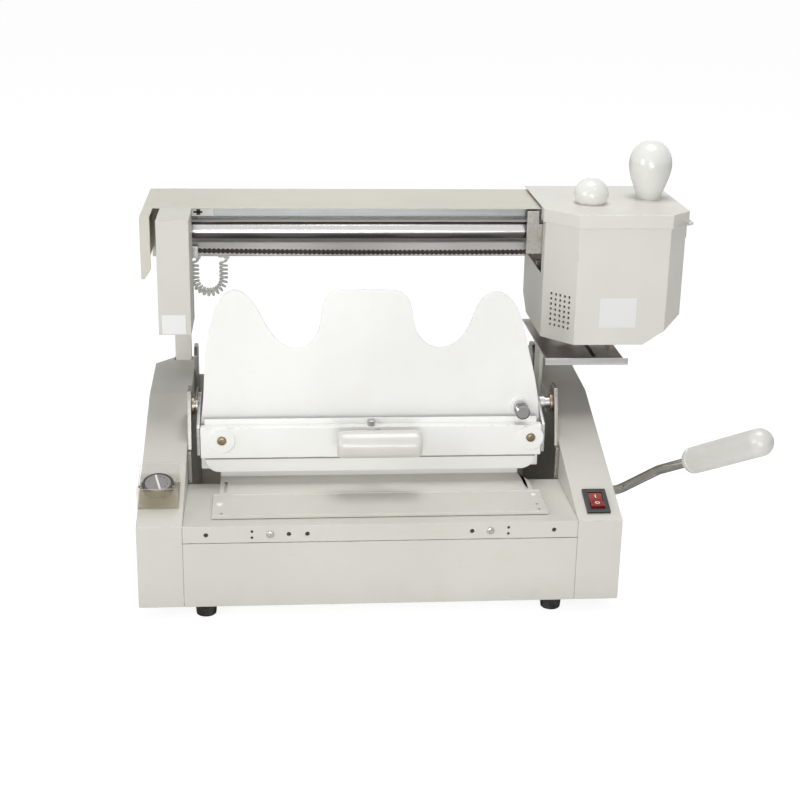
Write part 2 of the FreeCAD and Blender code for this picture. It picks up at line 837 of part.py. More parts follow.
def side_plate(name, side):
    far = "bay_half" if side > 0 else "-(bay_half - side_plate_thick)"
    near = "bay_half - side_plate_thick" if side > 0 else "-bay_half"
    plate = prism(name, "YZ", near, far, [
        ("side_plate_front", PAN_TOP), ("side_plate_back", PAN_TOP),
        ("side_plate_back", "side_plate_rise - lobe_shoulder"),
        ("side_plate_back - lobe_shoulder", "side_plate_rise"),
        ("side_plate_rise_front + lobe_shoulder", "side_plate_rise"),
        ("side_plate_rise_front", "side_plate_rise - lobe_shoulder"),
        ("side_plate_rise_front", "side_plate_high"),
        ("pivot_depth + lobe_half + lobe_shoulder", "side_plate_high"),
        ("pivot_depth + lobe_half", "pivot_high"),
        ("pivot_depth + lobe_half - lobe_shoulder", "pivot_high + lobe_half"),
        ("pivot_depth - lobe_half + lobe_shoulder", "pivot_high + lobe_half"),
        ("pivot_depth - lobe_half", "pivot_high"),
        ("side_plate_low_front", "side_plate_high - lobe_half"),
        ("side_plate_front", "side_plate_high - lobe_half"),
    ])
    circles = [("pivot_depth", "pivot_high", "trunnion_radius + running + bush_wall")]
    if side > 0:
        circles.append(("lever_depth", "lever_high", "lever_radius + running"))
    pocket(plate, "YZ", f"({near}) - over", f"({far}) + over", None, circles)
    return plate


keep(side_plate("left_side_plate_body", -1), "left_side_plate")
keep(side_plate("right_side_plate_body", 1), "right_side_plate")


def flanged_bush(name, inner_face, flange_face, outer_face):
    """Bush through a side plate with its flange on the bay side."""
    low, high = (outer_face, inner_face) if size(outer_face) < size(inner_face) else (inner_face, outer_face)
    flange_low, flange_high = (inner_face, flange_face)
    if size(flange_low) > size(flange_high):
        flange_low, flange_high = (flange_high, flange_low)
    whole = fuse(name + "_solid",
                 round_bar(name + "_barrel", "X", "trunnion_radius + running + bush_wall", low, high,
                           "pivot_depth", "pivot_high"),
                 round_bar(name + "_flange", "X", "trunnion_radius + running + bush_wall * 2", flange_low,
                           flange_high, "pivot_depth", "pivot_high"))
    reach_low = f"{low} - bush_flange - over"
    reach_high = f"{high} + bush_flange + over"
    return cut(name, whole, round_bar(name + "_bore", "X", "trunnion_radius + running", reach_low, reach_high,
                                      "pivot_depth", "pivot_high"))


left_bush = flanged_bush("left_bush", "-(bay_half - side_plate_thick)",
                         "-(bay_half - side_plate_thick - bush_flange)", "-bay_half")
right_bush = flanged_bush("right_bush", "bay_half - side_plate_thick",
                          "bay_half - side_plate_thick - bush_flange", "bay_half")
keep(group("pivot_bushes_group", left_bush, right_bush), "pivot_bushes")

# Uprights: two steel plates that carry the gantry behind the bay
UPRIGHT_BACK = "beam_back + upright_thick"
keep(block("left_upright_box", "-upright_outer", "-upright_inner", "beam_back", UPRIGHT_BACK, PAN_TOP,
           "beam_top - skin"), "left_upright")
keep(block("right_upright_box", "upright_inner", "upright_outer", "beam_back", UPRIGHT_BACK, PAN_TOP,
           "beam_top - skin"), "right_upright")

# Gantry: sheet cover with a rear skirt and a guarding finger on its left end
beam = new_body("beam_cover_body")
pad(beam, "YZ", "-beam_left", "beam_right", [
    ("beam_front", "beam_top - skin"), ("beam_front", "beam_top"), ("beam_back", "beam_top"),
    ("beam_back", "skirt_low"), ("beam_back - skin", "skirt_low"), ("beam_back - skin", "beam_top - skin"),
])
pad(beam, "XY", "beam_top - skin", "beam_top", [
    ("-beam_left", "finger_front"), ("-(beam_left - finger_wide)", "finger_front"),
    ("-(beam_left - finger_wide)", "beam_front"), ("-column_left", "beam_front"),
    ("-column_left", "beam_back - skin"), ("-beam_left", "beam_back - skin"),
])
pad(beam, "XZ", "finger_front", "finger_front + skin", [
    ("-beam_left", "beam_top"), ("-(beam_left - finger_wide)", "beam_top"),
    ("-(beam_left - finger_wide)", "finger_low + finger_wide"),
    ("-(beam_left - finger_wide / 3)", "finger_low"),
    ("-beam_left", "finger_low"),
])
pad(beam, "YZ", "-beam_left", "-beam_left + skin", [
    ("finger_front", "finger_low"), ("beam_back", "finger_low"),
    ("beam_back", "beam_top"), ("finger_front", "beam_top"),
])
keep(beam, "beam_cover")

# Column cover on the left: front, two sides and a short top, open at the back and bottom
COLUMN_TOP = "beam_top - skin"
column = new_body("column_cover_body")
pad(column, "XY", "column_low", COLUMN_TOP, [
    ("-column_left", "column_front"), ("-column_right", "column_front"),
    ("-column_right", "beam_back - skin * 2"), ("-column_left", "beam_back - skin * 2"),
])
pocket(column, "XY", "column_low - over", f"{COLUMN_TOP} + over", [
    ("-column_left + skin", "column_front + skin"), ("-column_right - skin", "column_front + skin"),
    ("-column_right - skin", "beam_back + over"), ("-column_left + skin", "beam_back + over"),
])
pocket(column, "YZ", "-column_right - skin - over", "-column_right + over", [
    ("column_side_back", "column_low - over"), ("beam_back + over", "column_low - over"),
    ("beam_back + over", "beam_top + over"), ("column_notch_front", "beam_top + over"),
    ("column_notch_front", "end_plate_low"), ("column_side_back", "end_plate_low"),
])
pad(column, "XY", COLUMN_TOP, "beam_top", [
    ("-column_left", "column_front"), ("-column_right", "column_front"),
    ("-column_right", "beam_front - air"), ("-column_left", "beam_front - air"),
])
keep(column, "column_cover")

# End plates that hold the guide rod, the rail strip and the chain


def end_plate(name, low):
    plate = prism(name, "YZ", low, f"({low}) + end_plate_thick", [
        ("end_plate_front", "end_plate_low"), ("beam_back - skin", "end_plate_low"),
        ("beam_back - skin", "beam_top - skin"), ("end_plate_front", "beam_top - skin"),
    ])
    pocket(plate, "YZ", f"({low}) - over", f"({low}) + end_plate_thick + over", None,
           [("rod_depth", "rod_high", "rod_radius")])
    return plate


RIGHT_PLATE = "beam_right - end_plate_thick"
keep(group("end_plates", end_plate("left_end_plate", "-left_plate_place"),
           end_plate("right_end_plate", RIGHT_PLATE)), "gantry_end_plates")
keep(round_bar("guide_rod_bar", "X", "rod_radius", "-left_plate_place", "beam_right",
               "rod_depth", "rod_high"),
     "guide_rod")
LEFT_FACE = "-left_plate_place + end_plate_thick"
keep(block("rail_strip_bar", LEFT_FACE, RIGHT_PLATE, "strip_front", "strip_front + strip_thick", "strip_low",
           "beam_top - skin"), "rail_strip")

# Drive chain: side plates with a waist between pins, and the pins across them
QUARTERS = 4


def chain_shape():
    """One straight run of chain, pinned between its two anchors."""
    pitch = size("chain_pitch")
    start = size(f"{LEFT_FACE} + anchor_wide")
    end = size(f"{RIGHT_PLATE} - anchor_wide")
    high = size("chain_high")
    radius = size("chain_plate_radius")
    waist = size("chain_waist")
    count = int((end - start - 2 * radius) / pitch)
    first = start + radius
    reach = math.sqrt(radius ** 2 - waist ** 2)
    slant = radius * math.cos(math.pi / QUARTERS)
    front = size("chain_depth - chain_inner_gap / 2 - chain_plate_thick")
    upper = []
    for index in range(count + 1):
        middle = first + index * pitch
        left = FreeCAD.Vector(middle - reach, front, high + waist)
        right = FreeCAD.Vector(middle + reach, front, high + waist)
        top = FreeCAD.Vector(middle, front, high + radius)
        if index == 0:
            left = FreeCAD.Vector(middle - radius, front, high)
            top = FreeCAD.Vector(middle - slant, front, high + slant)
        if index == count:
            right = FreeCAD.Vector(middle + radius, front, high)
            top = FreeCAD.Vector(middle + slant, front, high + slant)
        if upper:
            upper.append(Part.LineSegment(upper[-1].EndPoint, left))
        upper.append(Part.Arc(left, top, right))
    edges = [curve.toShape() for curve in upper]
    mirror = FreeCAD.Vector(0, 0, 1)
    base = FreeCAD.Vector(0, front, high)
    lower = [edge.mirror(base, mirror) for edge in edges]
    outline = Part.Wire(Part.__sortEdges__(edges + lower))
    side = Part.Face(outline).extrude(FreeCAD.Vector(0, size("chain_plate_thick"), 0))
    gap = size("chain_inner_gap")
    back = side.translated(FreeCAD.Vector(0, size("chain_plate_thick") + gap, 0))
    pins = []
    for index in range(count + 1):
        foot = FreeCAD.Vector(first + index * pitch, front, high)
        pins.append(Part.makeCylinder(size("chain_pin_radius"), gap + 2 * size("chain_plate_thick"), foot,
                                      FreeCAD.Vector(0, 1, 0)))
    return side.multiFuse([back] + pins), first


chain_solid, CHAIN_FIRST_PIN = chain_shape()
keep(shaped("drive_chain_feature", chain_solid), "drive_chain")

ANCHOR_Y = ("chain_depth - chain_inner_gap / 2 - chain_plate_thick - skin",
            "chain_depth + chain_inner_gap / 2 + chain_plate_thick + skin")
ANCHOR_Z = ("chain_high - anchor_low", "chain_high + anchor_high")
keep(group("chain_anchor_group",
           block("left_anchor", LEFT_FACE, f"{LEFT_FACE} + anchor_wide", *ANCHOR_Y, *ANCHOR_Z),
           block("right_anchor", f"{RIGHT_PLATE} - anchor_wide", RIGHT_PLATE, *ANCHOR_Y, *ANCHOR_Z)),
     "chain_anchors")

# Curly cord behind the gantry's left end: it hangs in a loop between two glands on the skirt
CORD_CURLS = 19
LOOP_RADIUS = "((cord_left - cord_right) / 2)"


def biarc(start, start_way, end, end_way):
    """Two arcs that leave start and reach end along the given unit ways."""
    chord = end - start
    bend = 2 * (1 - start_way.dot(end_way))
    along = 2 * chord.dot(start_way + end_way)
    reach = (-along + math.sqrt(along ** 2 + 4 * bend * chord.dot(chord))) / (2 * bend)
    first_corner = start + start_way * reach
    last_corner = end - end_way * reach
    middle = (first_corner + last_corner) * 0.5
    return [arc_past(start, first_corner, middle), arc_past(middle, last_corner, end)]


def arc_past(start, corner, end):
    """Arc tangent to both lines through a corner."""
    half = (end - start) * 0.5
    middle = start + half
    lean = half.Length / (corner - start).Length
    top = middle + (corner - middle) * (lean / (1 + lean))
    return Part.Arc(start, top, end).toShape()


def loop_place(step):
    """Point and way on the loop's centre line: down one limb, round a half circle, up the other."""
    right, left, top = (size("-cord_right"), size("-cord_left"), size("cord_high"))
    plane, limb, radius = (size("cord_plane"), size("cord_limb"), size(LOOP_RADIUS))
    arc = math.pi * radius
    if step <= limb:
        return FreeCAD.Vector(right, plane, top - step), FreeCAD.Vector(0, 0, -1)
    if step >= limb + arc:
        return FreeCAD.Vector(left, plane, top - limb + step - limb - arc), FreeCAD.Vector(0, 0, 1)
    angle = (step - limb) / radius
    across = (right + left) / 2 + radius * math.cos(angle)
    spot = FreeCAD.Vector(across, plane, top - limb - radius * math.sin(angle))
    return spot, FreeCAD.Vector(-math.sin(angle), 0, -math.cos(angle))


def cord_path():
    """Helix about the loop in quarter turns, with straight ends on the helix's own radius."""
    length = size(f"2 * cord_limb + pi * {LOOP_RADIUS}")
    wire = size("cord_wire")
    radius = (size("cord_coil") - wire) / 2
    lead = wire + radius + size("cord_ease")
    wound = length - 2 * lead
    across = FreeCAD.Vector(0, 1, 0)

    def around(step, angle):
        spot, way = loop_place(step)
        return spot + (across.cross(way) * math.sin(angle) + across * math.cos(angle)) * radius

    def point(turns):
        return around(lead + wound * turns / CORD_CURLS, 2 * math.pi * turns)

    tiny = 0.0005
    marks = [index / QUARTERS for index in range(CORD_CURLS * QUARTERS + 1)]
    points = [point(mark) for mark in marks]
    ways = [point(mark + tiny) - point(mark - tiny) for mark in marks]
    for way in ways:
        way.normalize()
    quarter = math.pi / 2
    down = FreeCAD.Vector(0, 0, -1)
    begin = around(0, -quarter)
    finish = around(length, quarter)
    lead_in = begin + down * wire
    lead_out = finish + down * wire
    edges = [Part.LineSegment(begin, lead_in).toShape()]
    points = [lead_in] + points + [lead_out]
    ways = [down] + ways + [down * -1]
    for index in range(len(points) - 1):
        edges += biarc(points[index], ways[index], points[index + 1], ways[index + 1])
    edges.append(Part.LineSegment(lead_out, finish).toShape())
    return edges, begin, wire


def least_gap(edges, wire):
    """Least clear distance between two stretches of the tube that are well over a bend apart."""
    samples = []
    run = 0.0
    for edge in edges:
        for spot in edge.discretize(Number=5)[:-1]:
            samples.append((run, spot))
        run += edge.Length
    least = run
    for index, (here, spot) in enumerate(samples):
        for there, other in samples[index + 1:]:
            if there - here > wire * 3:
                least = min(least, spot.distanceToPoint(other) - wire)
    return least


def cord_shape():
    edges, begin, wire = cord_path()
    path = Part.Wire(edges)
    ring = Part.Wire(Part.makeCircle(wire / 2, begin, FreeCAD.Vector(0, 0, -1)))
    tube = path.makePipeShell([ring], True, False)
    tightest = min(edge.Curve.Radius for edge in edges if hasattr(edge.Curve, "Radius"))
    true_volume = path.Length * math.pi * (wire / 2) ** 2
    print(f"curly cord: {path.Length:.1f} mm of wire, tightest radius {tightest:.2f},"
          f" least gap {least_gap(edges, wire):.2f},"
          f" volume over section times length {tube.Volume / true_volume:.4f}")
    return tube


keep(shaped("curly_cord_feature", cord_shape()), "curly_cord")


def cord_gland(name, middle):
    """Block on the skirt's rear face that the cord enters from below."""
    return block(name, f"{middle} - gland_side / 2", f"{middle} + gland_side / 2", "beam_back",
                 "beam_back + gland_thick", "cord_high", "cord_high + gland_high")


keep(group("cord_glands_group", cord_gland("top_gland", "-cord_right"),
           cord_gland("end_gland", "-cord_left")),
     "cord_glands")

# Drip tray under the parked head, and the bracket that carries it on the right side plate
TRAY_LOW = "tray_high - tray_lip"
tray = prism("drip_tray_body", "XZ", "tray_front", "tray_back", [
    ("tray_left", "tray_high"), ("tray_right", "tray_high"), ("tray_right + tray_flare", TRAY_LOW),
    ("tray_right + tray_flare - skin", TRAY_LOW), ("tray_right - skin", "tray_high - skin"),
    ("tray_left", "tray_high - skin"),
])
pad(tray, "XZ", "tray_front", "tray_front + skin", [
    ("tray_left", "tray_high"), ("tray_right", "tray_high"), ("tray_right + tray_flare", TRAY_LOW),
    ("tray_left", TRAY_LOW),
])
pocket(tray, "XY", "tray_high - skin - over", "tray_high + over", [
    ("tray_slot_place", "tray_front + tray_slot_inset"),
    ("tray_slot_place + tray_slot", "tray_front + tray_slot_inset"),
    ("tray_slot_place + tray_slot", "tray_back - tray_slot_inset"),
    ("tray_slot_place", "tray_back - tray_slot_inset"),
])
keep(tray, "drip_tray")
keep(block("tray_bracket_strip", "bay_half - side_plate_thick", "bay_half", "bracket_front", "bracket_back",
           "side_plate_high", "tray_high - skin"), "tray_bracket")

# Left console: thermostat under the slope, its dial above, and a clear cover over the dial
thermostat = fuse("thermostat_solid",
                  slope_round("thermostat_can", "thermostat_radius", "-dial_place", DIAL_MIDDLE,
                              "-skin * 2 - thermostat_deep", "-skin * 2"),
                  slope_round("thermostat_neck", "dial_shaft", "-dial_place", DIAL_MIDDLE,
                              "-skin * 2 - over", "dial_lift + dial_thick / 2"))
keep(thermostat, "thermostat")
dial_disc = slope_round("thermostat_dial_disc", "dial_radius", "-dial_place", DIAL_MIDDLE, "dial_lift",
                        "dial_lift + dial_thick")
dial_bore = slope_round("thermostat_dial_bore", "dial_shaft + running", "-dial_place", DIAL_MIDDLE,
                        "dial_lift - over",
                        "dial_lift + dial_thick / 2 + air")
keep(cut("thermostat_dial_cut", dial_disc, dial_bore), "thermostat_dial")
cover_outer = slope_block("cover_outer", "-dial_place - dial_box / 2 + over", "-dial_place + dial_box / 2",
                          "dial_box_start", "dial_box_start + dial_box", "0", "dial_box_high")
cover_inner = slope_block("cover_inner", "-dial_place - dial_box / 2 + over + skin",
                          "-dial_place + dial_box / 2 - skin",
                          "dial_box_start + skin", "dial_box_start + dial_box - skin", "-over",
                          "dial_box_high - skin")
keep(cut("dial_cover_cut", cover_outer, cover_inner), "dial_cover")

# Right console: rocker switch in a snap-in bezel
SWITCH_LOW = "switch_place - switch_wide / 2"
SWITCH_HIGH = "switch_place + switch_wide / 2"
bezel_rim = slope_block("bezel_rim_box", SWITCH_LOW, SWITCH_HIGH, "switch_start",
                        "switch_start + switch_long", "0",
                        "bezel_high")
bezel_can = slope_block("bezel_can_box", f"{SWITCH_LOW} + bezel_rim", f"{SWITCH_HIGH} - bezel_rim",
                        "switch_start + bezel_rim", "switch_start + switch_long - bezel_rim", "-switch_deep",
                        "over")
bezel_well = slope_block("bezel_well_box", f"{SWITCH_LOW} + bezel_rim + skin",
                         f"{SWITCH_HIGH} - bezel_rim - skin",
                         "switch_start + bezel_rim + skin", "switch_start + switch_long - bezel_rim - skin",
                         "-rocker_deep - over", "bezel_high + over")
keep(cut("switch_bezel_cut", fuse("bezel_solid", bezel_rim, bezel_can), bezel_well), "switch_bezel")

# Rocker: two faces that meet in a low valley over its hinge axis
ROCKER_HALF = "(switch_long / 2 - bezel_rim - skin - rocker_end_gap)"
rocker = new_body("power_rocker_body")
rocker_sketch_low = "switch_place - switch_wide / 2 + bezel_rim + skin + rocker_gap"
rocker_sketch_high = "switch_place + switch_wide / 2 - bezel_rim - skin - rocker_gap"


def slope_point(along, above):
    """Layout depth and height of a point on a console's slope."""
    return (f"({along}) * {SLOPE_COS} - ({above}) * {SLOPE_SIN}",
            f"casing_front_high + ({along}) * {SLOPE_SIN} + ({above}) * {SLOPE_COS}")


pad(rocker, "YZ", rocker_sketch_low, rocker_sketch_high, [
    slope_point(f"{SWITCH_MIDDLE} - {ROCKER_HALF}", "bezel_high + rocker_rise"),
    slope_point(f"{SWITCH_MIDDLE} - {ROCKER_HALF} + over", "-over"),
    slope_point(f"{SWITCH_MIDDLE} - over", "-rocker_deep / 2"),
    slope_point(f"{SWITCH_MIDDLE} + over", "-rocker_deep / 2"),
    slope_point(f"{SWITCH_MIDDLE} + {ROCKER_HALF} - over", "-over"),
    slope_point(f"{SWITCH_MIDDLE} + {ROCKER_HALF}", "bezel_high - air"),
    slope_point(SWITCH_MIDDLE, "bezel_high - air"),
])
keep(rocker, "power_rocker")

# Mains inlet in the rear wall of the pan
inlet_rim = block("inlet_rim_box", "inlet_place - inlet_wide / 2 - inlet_rim",
                  "inlet_place + inlet_wide / 2 + inlet_rim",
                  "pan_back", "pan_back + inlet_rim", "inlet_high - inlet_tall / 2 - inlet_rim",
                  "inlet_high + inlet_tall / 2 + inlet_rim")
inlet_can = block("inlet_can_box", "inlet_place - inlet_wide / 2 + running",
                  "inlet_place + inlet_wide / 2 - running",
                  "pan_back - inlet_deep", "pan_back + running", "inlet_high - inlet_tall / 2 + running",
                  "inlet_high + inlet_tall / 2 - running")
inlet_well = block("inlet_well_box", "inlet_place - inlet_wide / 2 + skin * 2",
                   "inlet_place + inlet_wide / 2 - skin * 2",
                   "pan_back - inlet_deep + skin * 2", "pan_back + inlet_rim + over",
                   "inlet_high - inlet_tall / 2 + skin * 2", "inlet_high + inlet_tall / 2 - skin * 2")
keep(cut("power_inlet_cut", fuse("inlet_solid", inlet_rim, inlet_can), inlet_well), "power_inlet")

# Glue head: folded sheet shell, open at the top and bottom, notched to pass the gantry

# How far a corner of the chamfered plan moves along its straight wall for each unit of inset
CHAMFER_SHARE = 0.41


def head_outline(inset, back):
    """Plan of the head's walls drawn in by an inset."""
    diagonal = f"{CHAMFER_SHARE} * ({inset})"
    return [
        (f"head_left + ({inset})", back),
        (f"head_left + ({inset})", f"head_front + left_chamfer_deep + {diagonal}"),
        (f"head_left + left_chamfer_wide + {diagonal}", f"head_front + ({inset})"),
        (f"head_right - right_chamfer_wide - {diagonal}", f"head_front + ({inset})"),
        (f"head_right - ({inset})", f"head_front + right_chamfer_deep + {diagonal}"),
        (f"head_right - ({inset})", back),
    ]


shell = prism("head_shell_body", "XY", "head_low", "head_top", head_outline("0", "head_back"))
pocket(shell, "XY", "head_low - over", "head_top + over", head_outline("skin", "head_back - skin"))
pocket(shell, "YZ", "head_left - over", "head_right + over", [
    ("notch_front", "notch_low"), ("head_back + over", "notch_low"),
    ("head_back + over", "head_top + over"), ("notch_front", "head_top + over"),
])
pocket(shell, "XZ", "head_front - over", "head_back + over", [
    ("low_cut_start", "head_low - over"), ("low_cut_start", "head_low"),
    ("low_cut_middle", "low_cut_middle_high"), ("head_right + over", "low_cut_high"),
    ("head_right + over", "head_low - over"),
])
pocket(shell, "YZ", "head_left - over", "head_right + over", [
    ("rear_cut_start", "head_low - over"), ("rear_cut_start", "head_low"),
    ("head_back + over", "rear_cut_high"), ("head_back + over", "head_low - over"),
])
VENT_COLUMNS = 5
VENT_ROWS = 7
VENT_MIDDLE_SHARE = 0.53
CHAMFER_SPAN = "sqrt(left_chamfer_wide ^ 2 + left_chamfer_deep ^ 2)"
vents = []
for column_number in range(VENT_COLUMNS):
    aside = column_number - (VENT_COLUMNS - 1) / 2
    share = f"({VENT_MIDDLE_SHARE} + ({aside}) * vent_across / {CHAMFER_SPAN})"
    for row_number in range(VENT_ROWS):
        hole = doc.addObject("Part::Cylinder", "vent")
        hole.Placement.Rotation = FreeCAD.Rotation(FreeCAD.Vector(0, 0, 1), FreeCAD.Vector(
            size("left_chamfer_deep"), size("left_chamfer_wide"), 0))
        bind(hole, "Radius", "vent_radius")
        bind(hole, "Height", "skin * 6")
        place(hole, f"head_left + {share} * left_chamfer_wide - skin * 2",
              f"head_front + left_chamfer_deep - {share} * left_chamfer_deep - skin * 2",
              f"vent_low + {row_number} * vent_pitch")
        vents.append(hole)
keep(cut("head_shell_cut", shell, *vents), "head_shell")

# Carriage: a saddle under the rod, two long bushings with wiper seals, and an arm for the guide roller
saddle = prism("carriage_saddle_body", "YZ", "saddle_left", "saddle_right", [
    ("saddle_front", "saddle_low"), ("saddle_back", "saddle_low"),
    ("saddle_back", "saddle_top"), ("saddle_front", "saddle_top"),
])
pocket(saddle, "YZ", "saddle_left - over", "saddle_right + over", None,
       [("rod_depth", "rod_high", "rod_radius + saddle_bore_gap")])
pad(saddle, "XZ", "saddle_front", "saddle_front + arm_thick", [
    ("guide_roller_place - guide_roller_radius", "saddle_low"), ("saddle_left", "saddle_low"),
    ("saddle_left", "saddle_top"), ("guide_roller_place + guide_roller_radius", "saddle_top"),
    ("guide_roller_place + guide_roller_radius", "beam_top - skin - air * 2"),
    ("guide_roller_place - guide_roller_radius", "beam_top - skin - air * 2"),
])
ROLLER_HIGH = "(beam_top - skin - running - guide_roller_radius)"
pad(saddle, "XZ", "saddle_front + arm_thick", "guide_roller_back - over", None,
    [("guide_roller_place", ROLLER_HIGH, "guide_axle_radius")])
keep(saddle, "carriage_saddle")


def ring(name, axis, outer, inner, start, end, across, up):
    return cut(name, round_bar(name + "_outer", axis, outer, start, end, across, up),
               round_bar(name + "_inner", axis, inner, f"{start} - over", f"{end} + over", across, up))


BUSH_LEFT = "saddle_left - bushing_long"
BUSH_RIGHT = "saddle_right + bushing_long"
keep(group("rod_bushings_group",
           ring("left_bushing", "X", "bushing_radius", "rod_radius + running", BUSH_LEFT, "saddle_left",
                "rod_depth", "rod_high"),
           ring("right_bushing", "X", "bushing_radius", "rod_radius + running", "saddle_right", BUSH_RIGHT,
                "rod_depth", "rod_high")), "rod_bushings")
keep(ring("bush_seal", "X", "seal_radius", "rod_radius + running", f"{BUSH_LEFT} - seal_long", BUSH_LEFT,
          "rod_depth", "rod_high"), "bushing_seal")
keep(ring("guide_roller_ring", "Y", "guide_roller_radius", "guide_axle_radius + running",
          "saddle_front + arm_thick + air", "guide_roller_back", "guide_roller_place", ROLLER_HIGH),
          "guide_roller")

# Hanger plate joins the carriage to the glue pot and carries the drive shaft's bush
DRIVE_TEETH_ANGLE = "(180 / sprocket_teeth)"
SPROCKET_RADIUS = f"(chain_pitch / (2 * sin({DRIVE_TEETH_ANGLE})))"
DRIVE_HIGH = f"(chain_high - {SPROCKET_RADIUS})"
ROLLER_AXIS = "(roller_low + roller_radius)"
GEAR_RADIUS = f"(({DRIVE_HIGH} - {ROLLER_AXIS}) / 2)"
BUSH_OUTER = "shaft_radius + running + shaft_bush_wall"
ARM_LOW = f"({DRIVE_HIGH} - shaft_radius * 1.8)"
ARM_HIGH = f"({DRIVE_HIGH} + shaft_radius * 3)"
SIDE_ARM_HIGH = "(notch_low - hanger_thick)"
hanger = prism("hanger_plate_body", "XZ", "saddle_back", "saddle_back + hanger_thick", [
    ("hanger_left", "hanger_low"), ("pot_right", "hanger_low"), ("pot_right", ARM_LOW),
    ("head_right - skin", ARM_LOW), ("head_right - skin", SIDE_ARM_HIGH), ("pot_right", SIDE_ARM_HIGH),
    ("pot_right", "saddle_top"), ("hanger_left", "saddle_top"), ("hanger_left", ARM_HIGH),
    ("head_left + skin", ARM_HIGH), ("head_left + skin", ARM_LOW), ("hanger_left", ARM_LOW),
])
pocket(hanger, "XZ", "saddle_back - over", "saddle_back + hanger_thick + over", None,
       [("roller_place", DRIVE_HIGH, BUSH_OUTER)])
keep(hanger, "hanger_plate")

# Glue pot: an open tank whose floor slot lets the glue roller through


def pot_outline(inset):
    side = f"head_left + skin + pot_gap + {inset}"
    diagonal = f"{CHAMFER_SHARE} * ({inset})"
    return [
        (side, f"saddle_back - {inset}"), (side, f"head_front + left_chamfer_deep + skin + {diagonal}"),
        (f"head_left + left_chamfer_wide + skin + {diagonal}", f"pot_front + {inset}"),
        (f"pot_right - {inset}", f"pot_front + {inset}"), (f"pot_right - {inset}", f"saddle_back - {inset}"),
    ]


pot = prism("glue_pot_body", "XY", "pot_low", "pot_top", pot_outline("0"))
pocket(pot, "XY", "pot_low + pot_wall", "pot_top + over", pot_outline("pot_wall"))
pocket(pot, "XY", "pot_low - over", "pot_low + pot_wall + over", [
    ("roller_place - roller_radius + pot_slot_air", "roller_front - pot_slot_air"),
    ("roller_place + roller_radius - pot_slot_air", "roller_front - pot_slot_air"),
    ("roller_place + roller_radius - pot_slot_air", "roller_back + pot_slot_air / 4"),
    ("roller_place - roller_radius + pot_slot_air", "roller_back + pot_slot_air / 4"),
])
pocket(pot, "XZ", "pot_front - over", "saddle_back + over", None, [("roller_place", ROLLER_AXIS, BUSH_OUTER)])
keep(pot, "glue_pot")

keep(group("shaft_bushes_group",
           ring("front_roller_bush", "Y", BUSH_OUTER, "shaft_radius + running", "pot_front",
                "pot_front + pot_wall",
                "roller_place", ROLLER_AXIS),
           ring("rear_roller_bush", "Y", BUSH_OUTER, "shaft_radius + running", "saddle_back - pot_wall",
                "saddle_back", "roller_place", ROLLER_AXIS),
           ring("drive_bush", "Y", BUSH_OUTER, "shaft_radius + running", "drive_bush_front",
                "saddle_back + hanger_thick + over", "roller_place", DRIVE_HIGH)), "shaft_bushes")

HEATER_X = ("pot_right - pot_wall - heater_radius - over", "roller_place + roller_radius + heater_radius * 2")
heaters = [
    round_bar("heater", "Y", "heater_radius", "pot_front + pot_wall + air",
              "pot_front + pot_wall + air + heater_long",
              place_x, "pot_low + pot_wall + heater_radius + air")
    for place_x in HEATER_X
]
keep(group("heater_group", *heaters), "pot_heaters")

BLADE_X = "roller_place + roller_radius + blade_gap"
keep(block("doctor_blade_bar", BLADE_X, f"{BLADE_X} + blade_thick", "pot_front + pot_wall",
           "saddle_back - pot_wall",
           f"{ROLLER_AXIS} - shaft_radius", f"{ROLLER_AXIS} + shaft_radius * 2"), "doctor_blade")

# Glue roller, its gear, and the drive shaft with the chain sprocket


def toothed(teeth, root, tip, thick, x, high, front, first_tooth):
    """Toothed disc about an axis along Y; first_tooth is an angle from +X towards +Z."""
    step = 2 * math.pi / teeth
    flank = step * size("tooth_share")
    corners = []
    for number in range(teeth):
        middle = first_tooth + number * step
        for radius, lean in ((root, -1), (tip, -0.55), (tip, 0.55), (root, 1)):
            angle = middle + lean * flank
            corners.append(FreeCAD.Vector(x + radius * math.cos(angle), front,
                                          high + radius * math.sin(angle)))
    face = Part.Face(Part.makePolygon(corners + corners[:1]))
    return face.extrude(FreeCAD.Vector(0, thick, 0))


def shaft_piece(radius, front, back, x, high):
    return Part.makeCylinder(radius, back - front, FreeCAD.Vector(x, front, high), FreeCAD.Vector(0, 1, 0))


roller_x = size("roller_place")
roller_axis = size(ROLLER_AXIS)
drive_axis = size(DRIVE_HIGH)
gear_pitch_radius = size(GEAR_RADIUS)
gear_teeth = int(size("gear_teeth"))
gear_module = 2 * gear_pitch_radius / gear_teeth
gear_front = size("gear_front")
gear_back = size("gear_front + gear_thick")
UPWARD = math.pi / 2
gear_step = 2 * math.pi / gear_teeth
TOOTH_ROOT_SHARE = 1.15
TOOTH_TIP_SHARE = 0.75
gear_root_radius = gear_pitch_radius - TOOTH_ROOT_SHARE * gear_module
gear_tip_radius = gear_pitch_radius + TOOTH_TIP_SHARE * gear_module

roller_drum = fuse("glue_roller_solid",
                   round_bar("roller_drum", "Y", "roller_radius", "roller_front", "roller_back",
                             "roller_place",
                             ROLLER_AXIS),
                   round_bar("roller_shaft", "Y", "shaft_radius", "pot_front - skin",
                             "gear_front + gear_thick",
                             "roller_place", ROLLER_AXIS))
keep(roller_drum, "glue_roller")
roller_gear = toothed(gear_teeth, gear_root_radius, gear_tip_radius, gear_back - gear_front,
                      roller_x, roller_axis, gear_front, UPWARD)
roller_gear = roller_gear.cut(shaft_piece(size("shaft_radius"), gear_front, gear_back, roller_x, roller_axis))
keep(shaped("roller_gear_feature", roller_gear), "roller_gear")

